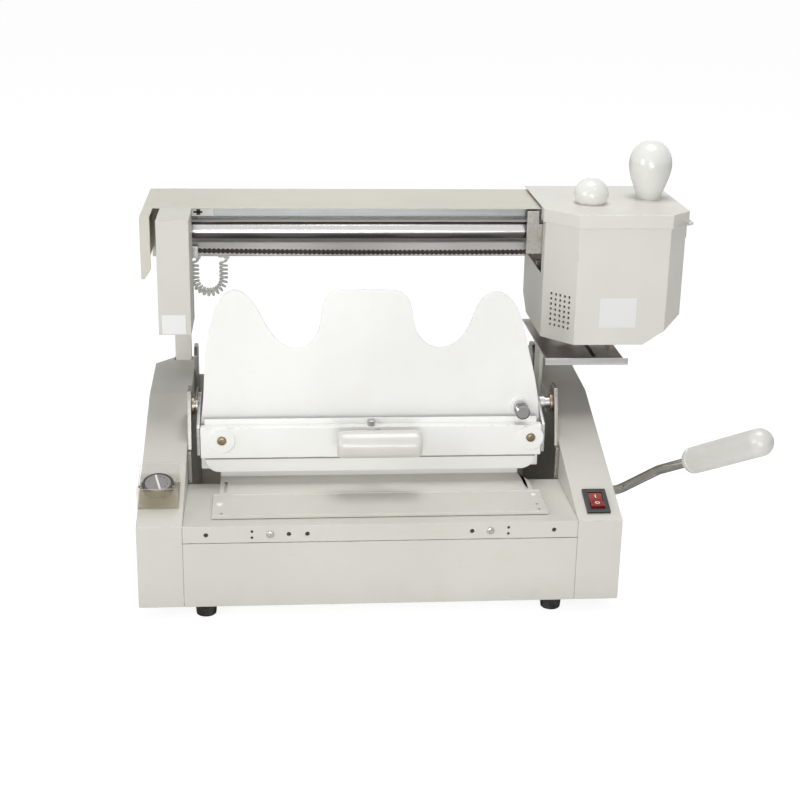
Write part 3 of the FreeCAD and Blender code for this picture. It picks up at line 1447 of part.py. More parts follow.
sprocket_radius = size(SPROCKET_RADIUS)
sprocket_teeth = int(size("sprocket_teeth"))
sprocket_front = size("chain_depth - sprocket_thick / 2")
pins_before = math.floor((roller_x - CHAIN_FIRST_PIN) / size("chain_pitch"))
pin_left_of_shaft = CHAIN_FIRST_PIN + pins_before * size("chain_pitch")
gap_turn = (roller_x - (pin_left_of_shaft + size("chain_pitch / 2"))) / sprocket_radius
drive_shape = toothed(sprocket_teeth, sprocket_radius - size("chain_pin_radius") - size("air"),
                      sprocket_radius + size("chain_pin_radius") + size("air"), size("sprocket_thick"),
                      roller_x, drive_axis, sprocket_front, UPWARD + gap_turn)
drive_gear = toothed(gear_teeth, gear_root_radius, gear_tip_radius, gear_back - gear_front,
                     roller_x, drive_axis, gear_front, -UPWARD + gear_step / 2)
drive_shaft = shaft_piece(size("shaft_radius"), size("drive_bush_front"), gear_back, roller_x, drive_axis)
keep(shaped("drive_shaft_feature", drive_shaft.multiFuse([drive_shape, drive_gear])), "drive_sprocket")

# Lid: a shallow cap over the head, hinged on its right, with a lifting knob and a push knob
lid_cap = prism("head_lid_body", "XY", "lid_low", "lid_top", head_outline("0 - lid_over", "lid_back"))
pocket(lid_cap, "XY", "lid_low - over", "lid_top - skin", head_outline("skin - lid_over", "lid_back + over"))
pocket(lid_cap, "YZ", "head_left - lid_over - over", "head_right + lid_over + over", [
    ("notch_front - over", "lid_low - over"), ("lid_back + over", "lid_low - over"),
    ("lid_back + over", "lid_top - skin"), ("notch_front - over", "lid_top - skin"),
])
HINGE_X = "head_right + lid_axis_out"
LID_RIGHT = "head_right + lid_over"
HINGE_SPAN = ("hinge_front - knuckle_gap - knuckle_long", "hinge_back + knuckle_gap + knuckle_long")
KNUCKLES = ((HINGE_SPAN[0], "hinge_front - knuckle_gap"), ("hinge_back + knuckle_gap", HINGE_SPAN[1]))
knuckles = []
for low, high in KNUCKLES:
    knuckles.append(block("knuckle_plate", f"{LID_RIGHT} - skin / 2", HINGE_X, low, high, "lid_axis_high",
                          "lid_axis_high + hinge_radius"))
    knuckles.append(round_bar("knuckle", "Y", "hinge_radius", low, high, HINGE_X, "lid_axis_high"))
keep(cut("head_lid_cut", fuse("lid_and_knuckles", lid_cap, *knuckles),
         round_bar("knuckle_bore", "Y", "hinge_pin + running", f"{HINGE_SPAN[0]} - over",
                   f"{HINGE_SPAN[1]} + over",
                   HINGE_X, "lid_axis_high")), "head_lid")


def turned(name, outline):
    """Solid of revolution about its own Z, from half of its section."""
    body = doc.addObject("PartDesign::Body", name)
    sketch = new_sketch(body, "XZ", "0", "0")
    draw_outline(sketch, outline)
    feature = body.newObject("PartDesign::Revolution", f"{name}_turn")
    feature.Profile = sketch
    feature.ReferenceAxis = (sketch, ["V_Axis"])
    feature.Angle = 360
    return body


DOME_SHARES = ((0.86, 0.08), (1.0, 0.28), (0.98, 0.48), (0.86, 0.68), (0.64, 0.86), (0.34, 0.97))
dome = turned("lift_knob_body", [("0", "0"), ("0.78 * dome_radius", "0")] + [
    (f"{across} * dome_radius", f"{up} * dome_high") for across, up in DOME_SHARES] + [("0", "dome_high")])
place(dome, "dome_place", "dome_depth", "lid_top")
keep(dome, "lid_lift_knob")

BULB_SHARES = ((0.62, 0.1), (0.78, 0.26), (0.93, 0.42), (1.0, 0.58), (0.96, 0.72), (0.8, 0.86), (0.5, 0.96))
bulb = turned("push_knob_body", [("0", "0"), ("bulb_neck", "0")] + [
    (f"{across} * bulb_radius", f"{up} * bulb_high") for across, up in BULB_SHARES] + [("0", "bulb_high")])
place(bulb, "bulb_place", "bulb_depth", "lid_top")
keep(bulb, "push_knob")

# Lid hinge: a leaf on the head's right wall with its barrel and pin
LEAF_TOP = "lid_low - air"
keep(fuse("lid_hinge_solid",
          block("hinge_leaf", "head_right", "head_right + skin", "hinge_front", "hinge_back",
                f"{LEAF_TOP} - leaf_high",
                LEAF_TOP),
          block("hinge_arm", "head_right", HINGE_X, "hinge_front", "hinge_back", f"{LEAF_TOP} - skin",
                LEAF_TOP),
          round_bar("hinge_barrel", "Y", "hinge_radius", "hinge_front", "hinge_back", HINGE_X,
                    "lid_axis_high"),
          round_bar("hinge_pin_bar", "Y", "hinge_pin", *HINGE_SPAN, HINGE_X, "lid_axis_high")), "lid_hinge")

# Swinging clamp: wave-edged back plate, its bar, end brackets with trunnions, and the lock knob
PLATE_LEFT = "clamp_middle - plate_half"
PLATE_WIDE = "plate_half * 2"
PLATE_TALL = "plate_top - plate_bottom"
WAVE_SHARES = (
    (0.0, 0.26), (0.014, 0.53), (0.024, 0.72), (0.052, 0.905), (0.078, 0.978), (0.104, 1.0), (0.136, 0.977),
    (0.172, 0.89), (0.222, 0.735), (0.25, 0.695), (0.285, 0.682), (0.318, 0.706), (0.344, 0.778),
    (0.353, 0.875), (0.362, 0.945), (0.385, 0.99), (0.425, 0.998), (0.48, 1.0), (0.545, 0.998),
    (0.582, 0.987),
    (0.606, 0.942), (0.622, 0.81), (0.65, 0.718), (0.695, 0.68), (0.74, 0.706), (0.782, 0.806),
    (0.804, 0.912),
    (0.829, 0.968), (0.859, 0.988), (0.889, 0.966), (0.916, 0.912), (0.952, 0.72), (0.984, 0.485),
    (1.0, 0.26),
)


def wave_plate_shape():
    """Sheet whose upper edge runs through three rounded crests."""
    left = size(PLATE_LEFT)
    wide = size(PLATE_WIDE)
    low = size("plate_bottom")
    tall = size(PLATE_TALL)
    front = size("plate_front")
    crest = [FreeCAD.Vector(left + u * wide, front, low + v * tall) for u, v in WAVE_SHARES]
    edge = Part.BSplineCurve()
    edge.interpolate(crest)
    low_left = FreeCAD.Vector(left, front, low)
    low_right = FreeCAD.Vector(left + wide, front, low)
    sides = [Part.LineSegment(low_left, crest[0]), edge, Part.LineSegment(crest[-1], low_right),
             Part.LineSegment(low_right, low_left)]
    face = Part.Face(Part.Wire([curve.toShape() for curve in sides]))
    return face.extrude(FreeCAD.Vector(0, size("plate_thick"), 0))


wave = shaped("wave_sheet", wave_plate_shape())
GUIDE_X = ("handle_middle - guide_pin_side", "handle_middle + guide_pin_side")
wave_boss = round_bar("knob_boss", "Y", "boss_radius", "plate_front - boss_thick",
                      "plate_front + plate_thick",
                      "knob_place", "knob_high")
wave_holes = [round_bar("plate_guide_hole", "Y", "guide_pin_radius + air", "plate_front - over",
                        "plate_front + plate_thick + over", x, "guide_pin_high") for x in GUIDE_X]
wave_holes.append(round_bar("plate_spindle_hole", "Y", "spindle_radius + air", "plate_front - over",
                            "plate_front + plate_thick + over", "handle_middle", "spindle_high"))
wave_holes.append(round_bar("plate_knob_hole", "Y", "knob_stem + running", "plate_front - boss_thick - over",
                            "plate_front + plate_thick + over", "knob_place", "knob_high"))
keep(cut("wave_plate_cut", fuse("wave_and_boss", wave, wave_boss), *wave_holes), "wave_plate")

PLATE_BACK = "plate_front + plate_thick"
back_bar = prism("clamp_back_bar_body", "XZ", PLATE_BACK, f"{PLATE_BACK} + back_bar_thick", [
    (PLATE_LEFT, "back_bar_bottom"), ("clamp_middle + plate_half", "back_bar_bottom"),
    ("clamp_middle + plate_half", "back_bar_top"), (PLATE_LEFT, "back_bar_top"),
])
pocket(back_bar, "XZ", f"{PLATE_BACK} - over", f"{PLATE_BACK} + back_bar_thick + over", None,
       [(x, "guide_pin_high", "guide_pin_radius + running") for x in GUIDE_X]
       + [("handle_middle", "spindle_high", "spindle_radius + running")])
keep(back_bar, "clamp_back_bar")


def end_bracket(name, low, pin_low, pin_high, collar_low, collar_high):
    """Steel end plate with its trunnion pin and a spacing collar."""
    plate = prism(name + "_plate", "YZ", low, f"({low}) + end_bracket_thick", [
        ("end_bracket_front", "end_bracket_low"), (f"{PLATE_BACK} + back_bar_thick", "end_bracket_low"),
        ("pivot_depth + trunnion_radius * 2", "pivot_high - trunnion_radius * 2"),
        ("pivot_depth + trunnion_radius * 2", "pivot_high + trunnion_radius"),
        ("pivot_depth + trunnion_radius", "pivot_high + trunnion_radius * 2"),
        ("pivot_depth - trunnion_radius", "pivot_high + trunnion_radius * 2"),
        ("end_bracket_front", "jaw_bar_top"),
    ])
    return fuse(name, plate,
                round_bar(name + "_pin", "X", "trunnion_radius", pin_low, pin_high, "pivot_depth",
                          "pivot_high"),
                round_bar(name + "_collar", "X", "collar_radius", collar_low, collar_high, "pivot_depth",
                          "pivot_high"))


LEFT_BRACKET = f"{PLATE_LEFT} - end_bracket_thick"
RIGHT_BRACKET = "clamp_middle + plate_half"
RIGHT_BRACKET_OUT = f"{RIGHT_BRACKET} + end_bracket_thick"
keep(group("end_brackets_group",
           end_bracket("left_end_bracket", LEFT_BRACKET, "-bay_half", LEFT_BRACKET,
                       f"{LEFT_BRACKET} - collar_left", LEFT_BRACKET),
           end_bracket("right_end_bracket", RIGHT_BRACKET, RIGHT_BRACKET_OUT, "bay_half", RIGHT_BRACKET_OUT,
                       f"{RIGHT_BRACKET_OUT} + collar_right")), "clamp_end_brackets")

KNOB_BACK = "plate_front - knob_gap - boss_thick"
lock_knob = fuse("lock_knob_solid",
                 round_bar("lock_knob_head", "Y", "knob_radius", f"{KNOB_BACK} - knob_long", KNOB_BACK,
                           "knob_place", "knob_high"),
                 round_bar("lock_knob_stem", "Y", "knob_stem", KNOB_BACK, f"{PLATE_BACK} + knob_stem_back",
                           "knob_place", "knob_high"))
knob_socket = round_bar("lock_knob_socket", "Y", "knob_radius / 2", f"{KNOB_BACK} - knob_long - over",
                        f"{KNOB_BACK} - knob_long / 2", "knob_place", "knob_high")
keep(cut("lock_knob_cut", lock_knob, knob_socket), "lock_knob")

# Front jaw: plate and bar that slide on two guide pins, drawn up by the handle's spindle
JAW_BACK = "plate_front - jaw_gap"
JAW_FACE = f"{JAW_BACK} - jaw_plate_thick"
JAW_FRONT = f"{JAW_FACE} - jaw_bar_thick"
JAW_END = "plate_half - jaw_end_gap"
HOLE_PLACES = [(x, "guide_pin_high", "guide_pin_radius") for x in GUIDE_X]
jaw_plate = prism("jaw_plate_body", "XZ", JAW_FACE, JAW_BACK, [
    ("clamp_middle - jaw_plate_half", "plate_bottom"), ("clamp_middle + jaw_plate_half", "plate_bottom"),
    ("clamp_middle + jaw_plate_half", "jaw_plate_top"), ("clamp_middle - jaw_plate_half", "jaw_plate_top"),
])
pocket(jaw_plate, "XZ", f"{JAW_FACE} - over", f"{JAW_BACK} + over", None,
       HOLE_PLACES + [("handle_middle", "spindle_high", "spindle_radius + air")])
low_edge = size("plate_bottom")
round_edges(jaw_plate, "jaw_corner",
            lambda edge: edge.BoundBox.YLength > edge.BoundBox.XLength + edge.BoundBox.ZLength
            and abs(edge.CenterOfMass.z - low_edge) < size("over")
            and edge.Curve.TypeId == "Part::GeomLine")
keep(jaw_plate, "jaw_plate")

jaw_bar = prism("jaw_bar_body", "XZ", JAW_FRONT, JAW_FACE, [
    (f"clamp_middle - ({JAW_END})", "jaw_bar_bottom"), (f"clamp_middle + {JAW_END}", "jaw_bar_bottom"),
    (f"clamp_middle + {JAW_END}", "jaw_bar_top"), (f"clamp_middle - ({JAW_END})", "jaw_bar_top"),
])
pocket(jaw_bar, "XZ", f"{JAW_FRONT} - over", f"{JAW_FACE} + over", None,
       HOLE_PLACES + [("handle_middle", "spindle_high", "spindle_radius + running")])
keep(jaw_bar, "jaw_bar")
retainer = round_bar("spindle_retainer_pin", "Z", "retainer_radius", "jaw_bar_top",
                     "jaw_bar_top + retainer_high",
                     "handle_middle - retainer_aside", f"{JAW_FRONT} + retainer_radius + air")


def guide_pin(name, x):
    return fuse(name,
                round_bar(name + "_shank", "Y", "guide_pin_radius", JAW_FRONT, "guide_pin_back", x,
                          "guide_pin_high"),
                round_bar(name + "_washer", "Y", "washer_radius", f"{JAW_FRONT} - washer_thick", JAW_FRONT, x,
                          "guide_pin_high"),
                round_bar(name + "_screw", "Y", "screw_radius", f"{JAW_FRONT} - washer_thick - screw_head",
                          f"{JAW_FRONT} - washer_thick", x, "guide_pin_high"))


keep(group("guide_pins_group", guide_pin("left_guide_pin", GUIDE_X[0]),
           guide_pin("right_guide_pin", GUIDE_X[1]),
           retainer), "jaw_guide_pins")

keep(round_bar("clamp_spindle_rod", "Y", "spindle_radius", "handle_front - handle_radius / 2", "spindle_back",
               "handle_middle", "spindle_high"), "clamp_spindle")
handle = new_body("spindle_handle_body")
pad(handle, "YZ", "handle_middle - handle_long / 2", "handle_middle + handle_long / 2", None,
    [("handle_front", "spindle_high", "handle_radius")])
round_edges(handle, "handle_round", lambda edge: edge.Closed)
pocket(handle, "XZ", "handle_front - handle_radius / 2", "handle_front + handle_radius * 2", None,
       [("handle_middle", "spindle_high", "spindle_radius")])
keep(handle, "spindle_handle")

# Press lever: shaft through the right casing, bent rod and a rounded grip


def rounded_path(points, radii):
    """Straight runs joined by arcs of the given radii at the inner points."""
    edges = []
    start = points[0]
    for index, radius in enumerate(radii, 1):
        corner = points[index]
        back = points[index - 1] - corner
        ahead = points[index + 1] - corner
        back.normalize()
        ahead.normalize()
        half_angle = back.getAngle(ahead) / 2
        reach = radius / math.tan(half_angle)
        entry = corner + back * reach
        leave = corner + ahead * reach
        inward = back + ahead
        inward.normalize()
        middle = corner + inward * (radius / math.sin(half_angle) - radius)
        edges.append(Part.LineSegment(start, entry).toShape())
        edges.append(Part.Arc(entry, middle, leave).toShape())
        start = leave
    edges.append(Part.LineSegment(start, points[-1]).toShape())
    return Part.Wire(edges)


def grip_line():
    """Start and tip of the grip's middle line, and its way."""
    start = FreeCAD.Vector(size("grip_start_x"), size("grip_start_y"), size("grip_start_z"))
    tip = FreeCAD.Vector(size("grip_tip_x"), size("grip_tip_y"), size("grip_tip_z"))
    way = tip - start
    way.normalize()
    return start, tip, way


def lever_shape():
    shaft_start = FreeCAD.Vector(size("bay_half - side_plate_thick - bush_flange"), size("lever_depth"),
                                 size("lever_high"))
    elbow = FreeCAD.Vector(size("lever_elbow_x"), size("lever_depth"), size("lever_high"))
    grip_start, tip, way = grip_line()
    bend = grip_start - way * size("lever_bend_run")
    path = rounded_path([shaft_start, elbow, bend, grip_start],
                        [size("lever_turn_radius"), size("lever_bend_radius")])
    ring = Part.Wire(Part.makeCircle(size("lever_radius"), shaft_start, FreeCAD.Vector(1, 0, 0)))
    rod = path.makePipeShell([ring], True, False)
    hub = Part.makeCylinder(size("hub_radius"), size("hub_thick"),
                            FreeCAD.Vector(size("casing_half + air"), size("lever_depth"),
                                           size("lever_high")),
                            FreeCAD.Vector(1, 0, 0))
    return rod.fuse(hub)


def grip_shape():
    """Round bar with a full round end and a softened shoulder where the rod enters."""
    start, tip, way = grip_line()
    radius = size("grip_radius")
    bar = Part.makeCylinder(radius, (tip - start).Length, start, way)
    bar = bar.fuse(Part.makeSphere(radius, tip)).removeSplitter()
    shoulder = [edge for edge in bar.Edges
                if edge.Closed and edge.CenterOfMass.distanceToPoint(start) < size("over")]
    return bar.makeFillet(radius / 2, shoulder)


keep(shaped("press_lever_feature", lever_shape()), "press_lever_rod")
keep(shaped("lever_grip_feature", grip_shape()), "lever_grip")

# Every object is checked, then each sub-part is written under its label
doc.recompute()
for thing in doc.Objects:
    if "Invalid" in thing.State or "Error" in thing.State:
        raise RuntimeError(f"{thing.Name} did not recompute")
labels = [piece.Label for piece in SUB_PARTS]
if len(set(labels)) != len(labels):
    raise RuntimeError("two sub-parts share a label")
for piece in SUB_PARTS:
    if piece.Shape.isNull() or not piece.Shape.isValid():
        raise RuntimeError(f"{piece.Label} has no valid shape")

os.makedirs("parts", exist_ok=True)
for piece in SUB_PARTS:
    piece.Shape.exportStep(os.path.join("parts", piece.Label + ".step"))
print(f"{len(SUB_PARTS)} sub-parts written; layout zero lies at"
      f" {-size(ORIGIN_X):.3f}, {-size(ORIGIN_Y):.3f} in the machine's own axes")
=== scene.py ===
"""Desktop thermal book binding machine: its finishes, fasteners, chain, cord, controls and studio."""
import json
import math

import bmesh
import bpy
from bpy.props import FloatProperty, FloatVectorProperty, IntProperty, PointerProperty
from mathutils import Matrix, Vector

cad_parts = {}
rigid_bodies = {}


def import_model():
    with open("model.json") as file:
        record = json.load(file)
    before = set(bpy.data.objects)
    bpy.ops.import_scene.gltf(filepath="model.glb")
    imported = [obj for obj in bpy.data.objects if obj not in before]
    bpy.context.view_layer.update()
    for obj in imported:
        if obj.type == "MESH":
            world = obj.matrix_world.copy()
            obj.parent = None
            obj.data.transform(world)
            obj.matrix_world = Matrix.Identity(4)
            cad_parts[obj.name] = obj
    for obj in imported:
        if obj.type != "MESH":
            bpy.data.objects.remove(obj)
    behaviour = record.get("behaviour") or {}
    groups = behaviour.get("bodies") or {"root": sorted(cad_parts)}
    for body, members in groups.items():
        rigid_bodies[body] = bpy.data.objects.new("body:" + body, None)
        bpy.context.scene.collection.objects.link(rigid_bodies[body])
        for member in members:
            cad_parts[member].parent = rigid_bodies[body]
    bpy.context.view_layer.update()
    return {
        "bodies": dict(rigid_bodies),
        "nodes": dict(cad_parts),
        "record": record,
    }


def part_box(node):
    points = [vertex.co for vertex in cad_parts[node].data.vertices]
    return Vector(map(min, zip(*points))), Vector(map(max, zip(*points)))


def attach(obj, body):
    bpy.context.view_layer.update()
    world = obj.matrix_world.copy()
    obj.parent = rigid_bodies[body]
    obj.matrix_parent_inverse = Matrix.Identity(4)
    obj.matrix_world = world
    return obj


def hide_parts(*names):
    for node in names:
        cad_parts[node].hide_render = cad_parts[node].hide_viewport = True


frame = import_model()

bl_info = {
    "name": "Thermal Book Binding Machine",
    "version": (1, 0, 0),
    "blender": (4, 5, 0),
    "location": "3D View > Sidebar > Binder",
    "description": "Dresses the binding machine's solids and sets the studio round it",
    "category": "Object",
}

MM = 0.001
LAYOUT_X = (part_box("left_casing")[0].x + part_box("right_casing")[1].x) / 2
LAYOUT_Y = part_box("left_casing")[0].y
SLOPE_START = 97.0
SLOPE = math.atan2(65.0, 201.0)
SLOT_OF = {part["node"]: part["material_slot"] for part in frame["record"]["subparts"]}
X_WAY, Y_WAY, Z_WAY = Vector((1, 0, 0)), Vector((0, 1, 0)), Vector((0, 0, 1))
ROUND, FINE = 48, 72
SETTINGS = "binder"
FINISHED = "_finish"


def at(x, y, z):
    """Point in metres from layout millimetres: across, back from the casing's front, and up."""
    return Vector((LAYOUT_X + x * MM, LAYOUT_Y + y * MM, z * MM))


def on_slope(x, along, above):
    """Point over a console's sloping top: across, up the slope and out from it."""
    return at(x, along * math.cos(SLOPE) - above * math.sin(SLOPE),
              SLOPE_START + along * math.sin(SLOPE) + above * math.cos(SLOPE))


def settings():
    return getattr(bpy.context.scene, SETTINGS)


def placed(name, data):
    """New object of the scene."""
    made = bpy.data.objects.new(name, data)
    bpy.context.scene.collection.objects.link(made)
    return made


def empty_tree(owner):
    """Node tree of a material or a world, without its first nodes."""
    owner.use_nodes = True
    owner.node_tree.nodes.clear()
    return owner.node_tree


# Shader maths

class Shade:
    """One socket of a finish, with arithmetic that adds its Math nodes."""

    def __init__(self, socket):
        self.socket = socket
        self.tree = socket.id_data

    def node(self, kind, choices=None, inputs=None, output=0):
        """Adds a node: its choices are set first, then its sockets take values or links."""
        made = self.tree.nodes.new(kind)
        for name, value in (choices or {}).items():
            setattr(made, name, value)
        for name, value in (inputs or {}).items():
            if isinstance(value, Shade):
                self.tree.links.new(value.socket, made.inputs[name])
            else:
                made.inputs[name].default_value = value
        return Shade(made.outputs[output])

    def math(self, operation, *values):
        return self.node("ShaderNodeMath", {"operation": operation}, dict(enumerate(values)))

    def __add__(self, other):
        return self.math("ADD", self, other)

    __radd__ = __add__

    def __sub__(self, other):
        return self.math("SUBTRACT", self, other)

    def __rsub__(self, other):
        return self.math("SUBTRACT", other, self)

    def __mul__(self, other):
        return self.math("MULTIPLY", self, other)

    __rmul__ = __mul__

    def __truediv__(self, other):
        return self.math("DIVIDE", self, other)

    def between(self, low, high):
        """Nothing at low, all at high, eased at both ends."""
        return self.node("ShaderNodeMapRange", {"interpolation_type": "SMOOTHSTEP"},
                         {"Value": self, "From Min": low, "From Max": high})


class Finish:
    """A material in the making: its shader, the place of each point, and the patterns laid over it."""

    def __init__(self, name):
        self.material = bpy.data.materials.new(name + FINISHED)
        tree = empty_tree(self.material)
        output = tree.nodes.new("ShaderNodeOutputMaterial")
        self.shader = tree.nodes.new("ShaderNodeBsdfPrincipled")
        tree.links.new(self.shader.outputs["BSDF"], output.inputs["Surface"])
        self.place = Shade(tree.nodes.new("ShaderNodeTexCoord").outputs["Object"])
        self.rim = self.place.node("ShaderNodeAttribute", {"attribute_name": "rim"}, output=2)
        self.height = self.place.node("ShaderNodeSeparateXYZ", inputs={"Vector": self.place}, output=2)

    def noise(self, scale, detail=3.0, stretch=(1, 1, 1)):
        place = self.place
        if tuple(stretch) != (1, 1, 1):
            place = place.node("ShaderNodeMapping", inputs={"Vector": place, "Scale": stretch})
        return place.node("ShaderNodeTexNoise", inputs={"Vector": place, "Scale": scale, "Detail": detail})

    def blend(self, first, second, amount):
        """Colour that goes from the first to the second."""
        colours = {}
        for slot, value in ((6, first), (7, second)):
            colours[slot] = value if isinstance(value, Shade) else (*value, 1.0)
        return self.place.node("ShaderNodeMix", {"data_type": "RGBA"}, {0: amount, **colours}, 2)

    def surface(self, colour, rough, relief, strength, depth, values=None):
        """The material, once its colour, roughness, relief and other values are fed to its shader."""
        bump = relief.node("ShaderNodeBump", inputs={"Strength": strength, "Distance": depth, "Height": relief})
        fed = {"Base Color": colour, "Roughness": rough, "Normal": bump, **(values or {})}
        for name, value in fed.items():
            if isinstance(value, Shade):
                value.tree.links.new(value.socket, self.shader.inputs[name])
            else:
                self.shader.inputs[name].default_value = value
        return self.material


def toned(colour, share):
    return tuple(min(1.0, part * share) for part in colour)


DUST_REACH = 0.05


def painted(name, colour, rough, wear=0.5, dirt=0.3):
    """Baked paint on sheet: faint orange peel, clouding, rubbed edges and dust low down."""
    coat = Finish(name)
    cloud, mottle, peel = coat.noise(6, 3), coat.noise(55, 4), coat.noise(850, 2)
    scuff = coat.noise(30, 5, (1, 1, 9)).between(0.66, 0.74)
    base = coat.blend(toned(colour, 0.955), toned(colour, 1.035), cloud.between(0.3, 0.7))
    base = coat.blend(base, (colour[0] * 0.98, colour[1] * 0.94, colour[2] * 0.84), mottle.between(0.5, 0.8) * 0.22)
    base = coat.blend(base, toned(colour, 0.82), scuff * 0.16)
    rubbed = coat.rim * coat.noise(80, 5).between(0.5, 0.66)
    base = coat.blend(base, (0.50, 0.48, 0.44), rubbed * wear)
    low = (1 - coat.height / DUST_REACH).between(0.0, 1.0)
    base = coat.blend(base, (0.33, 0.30, 0.25), low * mottle * dirt)
    rough = rough + (mottle - 0.5) * 0.14 + rubbed * 0.12 + scuff * 0.08
    return coat.surface(base, rough, peel * 0.7 + mottle * 0.3, 0.10, 0.0004, {"Specular IOR Level": 0.45})


def bare_metal(name, colour, rough, grain, stain=0.25):
    """Machined or rolled metal with its grain along one way, faint stains and bright edges."""
    metal = Finish(name)
    lines, cloud, spots = metal.noise(1.0, 4, grain), metal.noise(18, 4), metal.noise(160, 3)
    base = metal.blend(toned(colour, 0.84), toned(colour, 1.12), lines.between(0.25, 0.75))
    base = metal.blend(base, (colour[0] * 0.72, colour[1] * 0.66, colour[2] * 0.56),
                       cloud.between(0.5, 0.75) * stain)
    base = metal.blend(base, toned(colour, 1.35), metal.rim * 0.5)
    rough = rough + (lines - 0.5) * 0.16 + (spots - 0.5) * 0.08
    return metal.surface(base, rough, lines * 0.8 + spots * 0.2, 0.16, 0.00012, {"Metallic": 1.0})


# dark is the colour's share at the dark side of the painted reflection; edge is the facing range over which that
# painted reflection lightens.
def polished(name, colour, rough, grain, dark, edge=(0.45, 0.85)):
    """Ground and plated steel, with turning marks and wiped smears; its colour carries a painted reflection, darker
    where the surface turns away from the view.
    """
    metal = Finish(name)
    lines, smear, specks = metal.noise(1.0, 3, grain), metal.noise(22, 4, (1, 3, 3)), metal.noise(420, 2)
    # Painted reflection: the colour is lightest where the surface faces the view and falls to the dark share towards
    # the outline.
    facing = metal.place.node("ShaderNodeLayerWeight", inputs={"Blend": 0.5}, output=1)
    light = (1 - facing).between(*edge) * (0.75 + smear * 0.5)
    base = metal.blend(toned(colour, dark), toned(colour, 1.06), light.math("MINIMUM", light, 1.0))
    base = metal.blend(base, toned(colour, 0.6), specks.between(0.72, 0.8) * 0.4)
    rough = rough + smear * 0.06 + (lines - 0.5) * 0.03
    return metal.surface(base, rough, lines, 0.05, 0.00005, {"Metallic": 1.0})


BAR_LOW, BAR_HIGH = 0.31975, 0.34425
# Painted reflection of the bar: share of its height and the tone there, in light and dark bands.
PAINTED_REFLECTION_BANDS = ((0.0, 0.35), (0.24, 0.45), (0.31, 0.07), (0.53, 0.08), (0.59, 0.64), (0.84, 0.72), (0.87, 0.13),
             (0.925, 0.11), (0.945, 0.90), (1.0, 0.97))


def ground_bar(name):
    """Long ground and chromed bar with grinding rings and faint smears; its colour carries a painted reflection in
    light and dark bands by height, and one thin band is made less metallic so that it shows light.
    """
    metal = Finish(name)
    rings, smear = metal.noise(1.0, 3, (900, 3, 3)), metal.noise(9, 4, (1, 6, 6))
    share = (metal.height - BAR_LOW) / (BAR_HIGH - BAR_LOW) + (smear - 0.5) * 0.03
    # Painted reflection: the tone steps through the bands by height.
    painted_reflection_tone = share * 0.0 + PAINTED_REFLECTION_BANDS[0][1]
    for (low, before), (high, after) in zip(PAINTED_REFLECTION_BANDS, PAINTED_REFLECTION_BANDS[1:]):
        painted_reflection_tone = painted_reflection_tone + share.between(low, high) * (after - before)
    base = metal.blend((0.03, 0.027, 0.026), (0.97, 0.95, 0.94), painted_reflection_tone * (0.94 + rings * 0.1))
    rough = 0.16 + smear * 0.08 + rings * 0.03
    # Painted light: a thin band near the top is made almost not metallic, so that it shows its light colour evenly.
    return metal.surface(base, rough, rings, 0.05, 0.00005, {"Metallic": 0.85 - share.between(0.93, 0.945) * 0.8})


def cast_metal(name, colour, rough):
    """Sand-cast aluminium: pitted skin, greyer hollows and bright machined edges."""
    metal = Finish(name)
    skin, pits, cloud = metal.noise(240, 5), metal.noise(520, 2), metal.noise(25, 3)
    base = metal.blend(toned(colour, 0.7), toned(colour, 1.1), skin.between(0.3, 0.7))
    base = metal.blend(base, toned(colour, 0.5), pits.between(0.66, 0.74) * 0.6)
    base = metal.blend(base, toned(colour, 1.4), metal.rim * 0.45)
    rough = rough + (cloud - 0.5) * 0.2
    return metal.surface(base, rough, skin * 0.6 + pits * 0.4, 0.35, 0.0004, {"Metallic": 0.9})


def moulded(name, colour, rough, coat_weight=0.0, wear=0.3):
    """Moulded plastic: flow clouding, fine spark texture and handling marks."""
    plastic = Finish(name)
    flow, spark, smear = plastic.noise(20, 3), plastic.noise(1300, 2), plastic.noise(75, 4, (1, 1, 3))
    base = plastic.blend(toned(colour, 0.965), toned(colour, 1.03), flow.between(0.3, 0.7))
    base = plastic.blend(base, toned(colour, 0.86), smear.between(0.58, 0.75) * wear)
    base = plastic.blend(base, tuple(0.6 * part + 0.25 for part in colour), plastic.rim * smear * wear)
    rough = rough + smear * 0.12 + (flow - 0.5) * 0.05
    return plastic.surface(base, rough, spark * 0.5 + flow * 0.5, 0.06, 0.0003,
                           {"Coat Weight": coat_weight, "Coat Roughness": 0.06})


def rubbery(name, colour):
    """Black rubber with a dusty bloom and scuffed rims."""
    rubber = Finish(name)
    grain, dust = rubber.noise(700, 3), rubber.noise(60, 4)
    base = rubber.blend(toned(colour, 0.8), toned(colour, 1.3), grain)
    base = rubber.blend(base, (0.22, 0.21, 0.19), dust.between(0.45, 0.8) * 0.3)
    base = rubber.blend(base, (0.30, 0.29, 0.27), rubber.rim * dust * 0.5)
    rough = 0.72 + (dust - 0.5) * 0.2
    return rubber.surface(base, rough, grain, 0.3, 0.0003, {"Specular IOR Level": 0.35})


COVER_SIDE, COVER_TURN = 0.124, 0.006


def clear_plastic(name):
    """Clear moulded cover, a little yellowed and rubbed, with cloudier edges."""
    cover = Finish(name)
    cloud, scratch = cover.noise(40, 3), cover.noise(90, 6, (1, 6, 1)).between(0.6, 0.75)
    side = (1 - (cover.height - COVER_SIDE) / COVER_TURN).between(0.0, 1.0)
    base = cover.blend((0.40, 0.33, 0.31), (0.62, 0.55, 0.36), side)
    base = cover.blend(base, (0.70, 0.67, 0.56), cover.rim * 0.6)
    body = 0.015 + side * 0.20 + cover.rim * 0.35 + scratch * 0.05
    return cover.surface(base, 0.04 + scratch * 0.18 + cloud * 0.03, cloud, 0.08, 0.0005,
                         {"Alpha": body, "IOR": 1.49, "Specular IOR Level": 0.3})


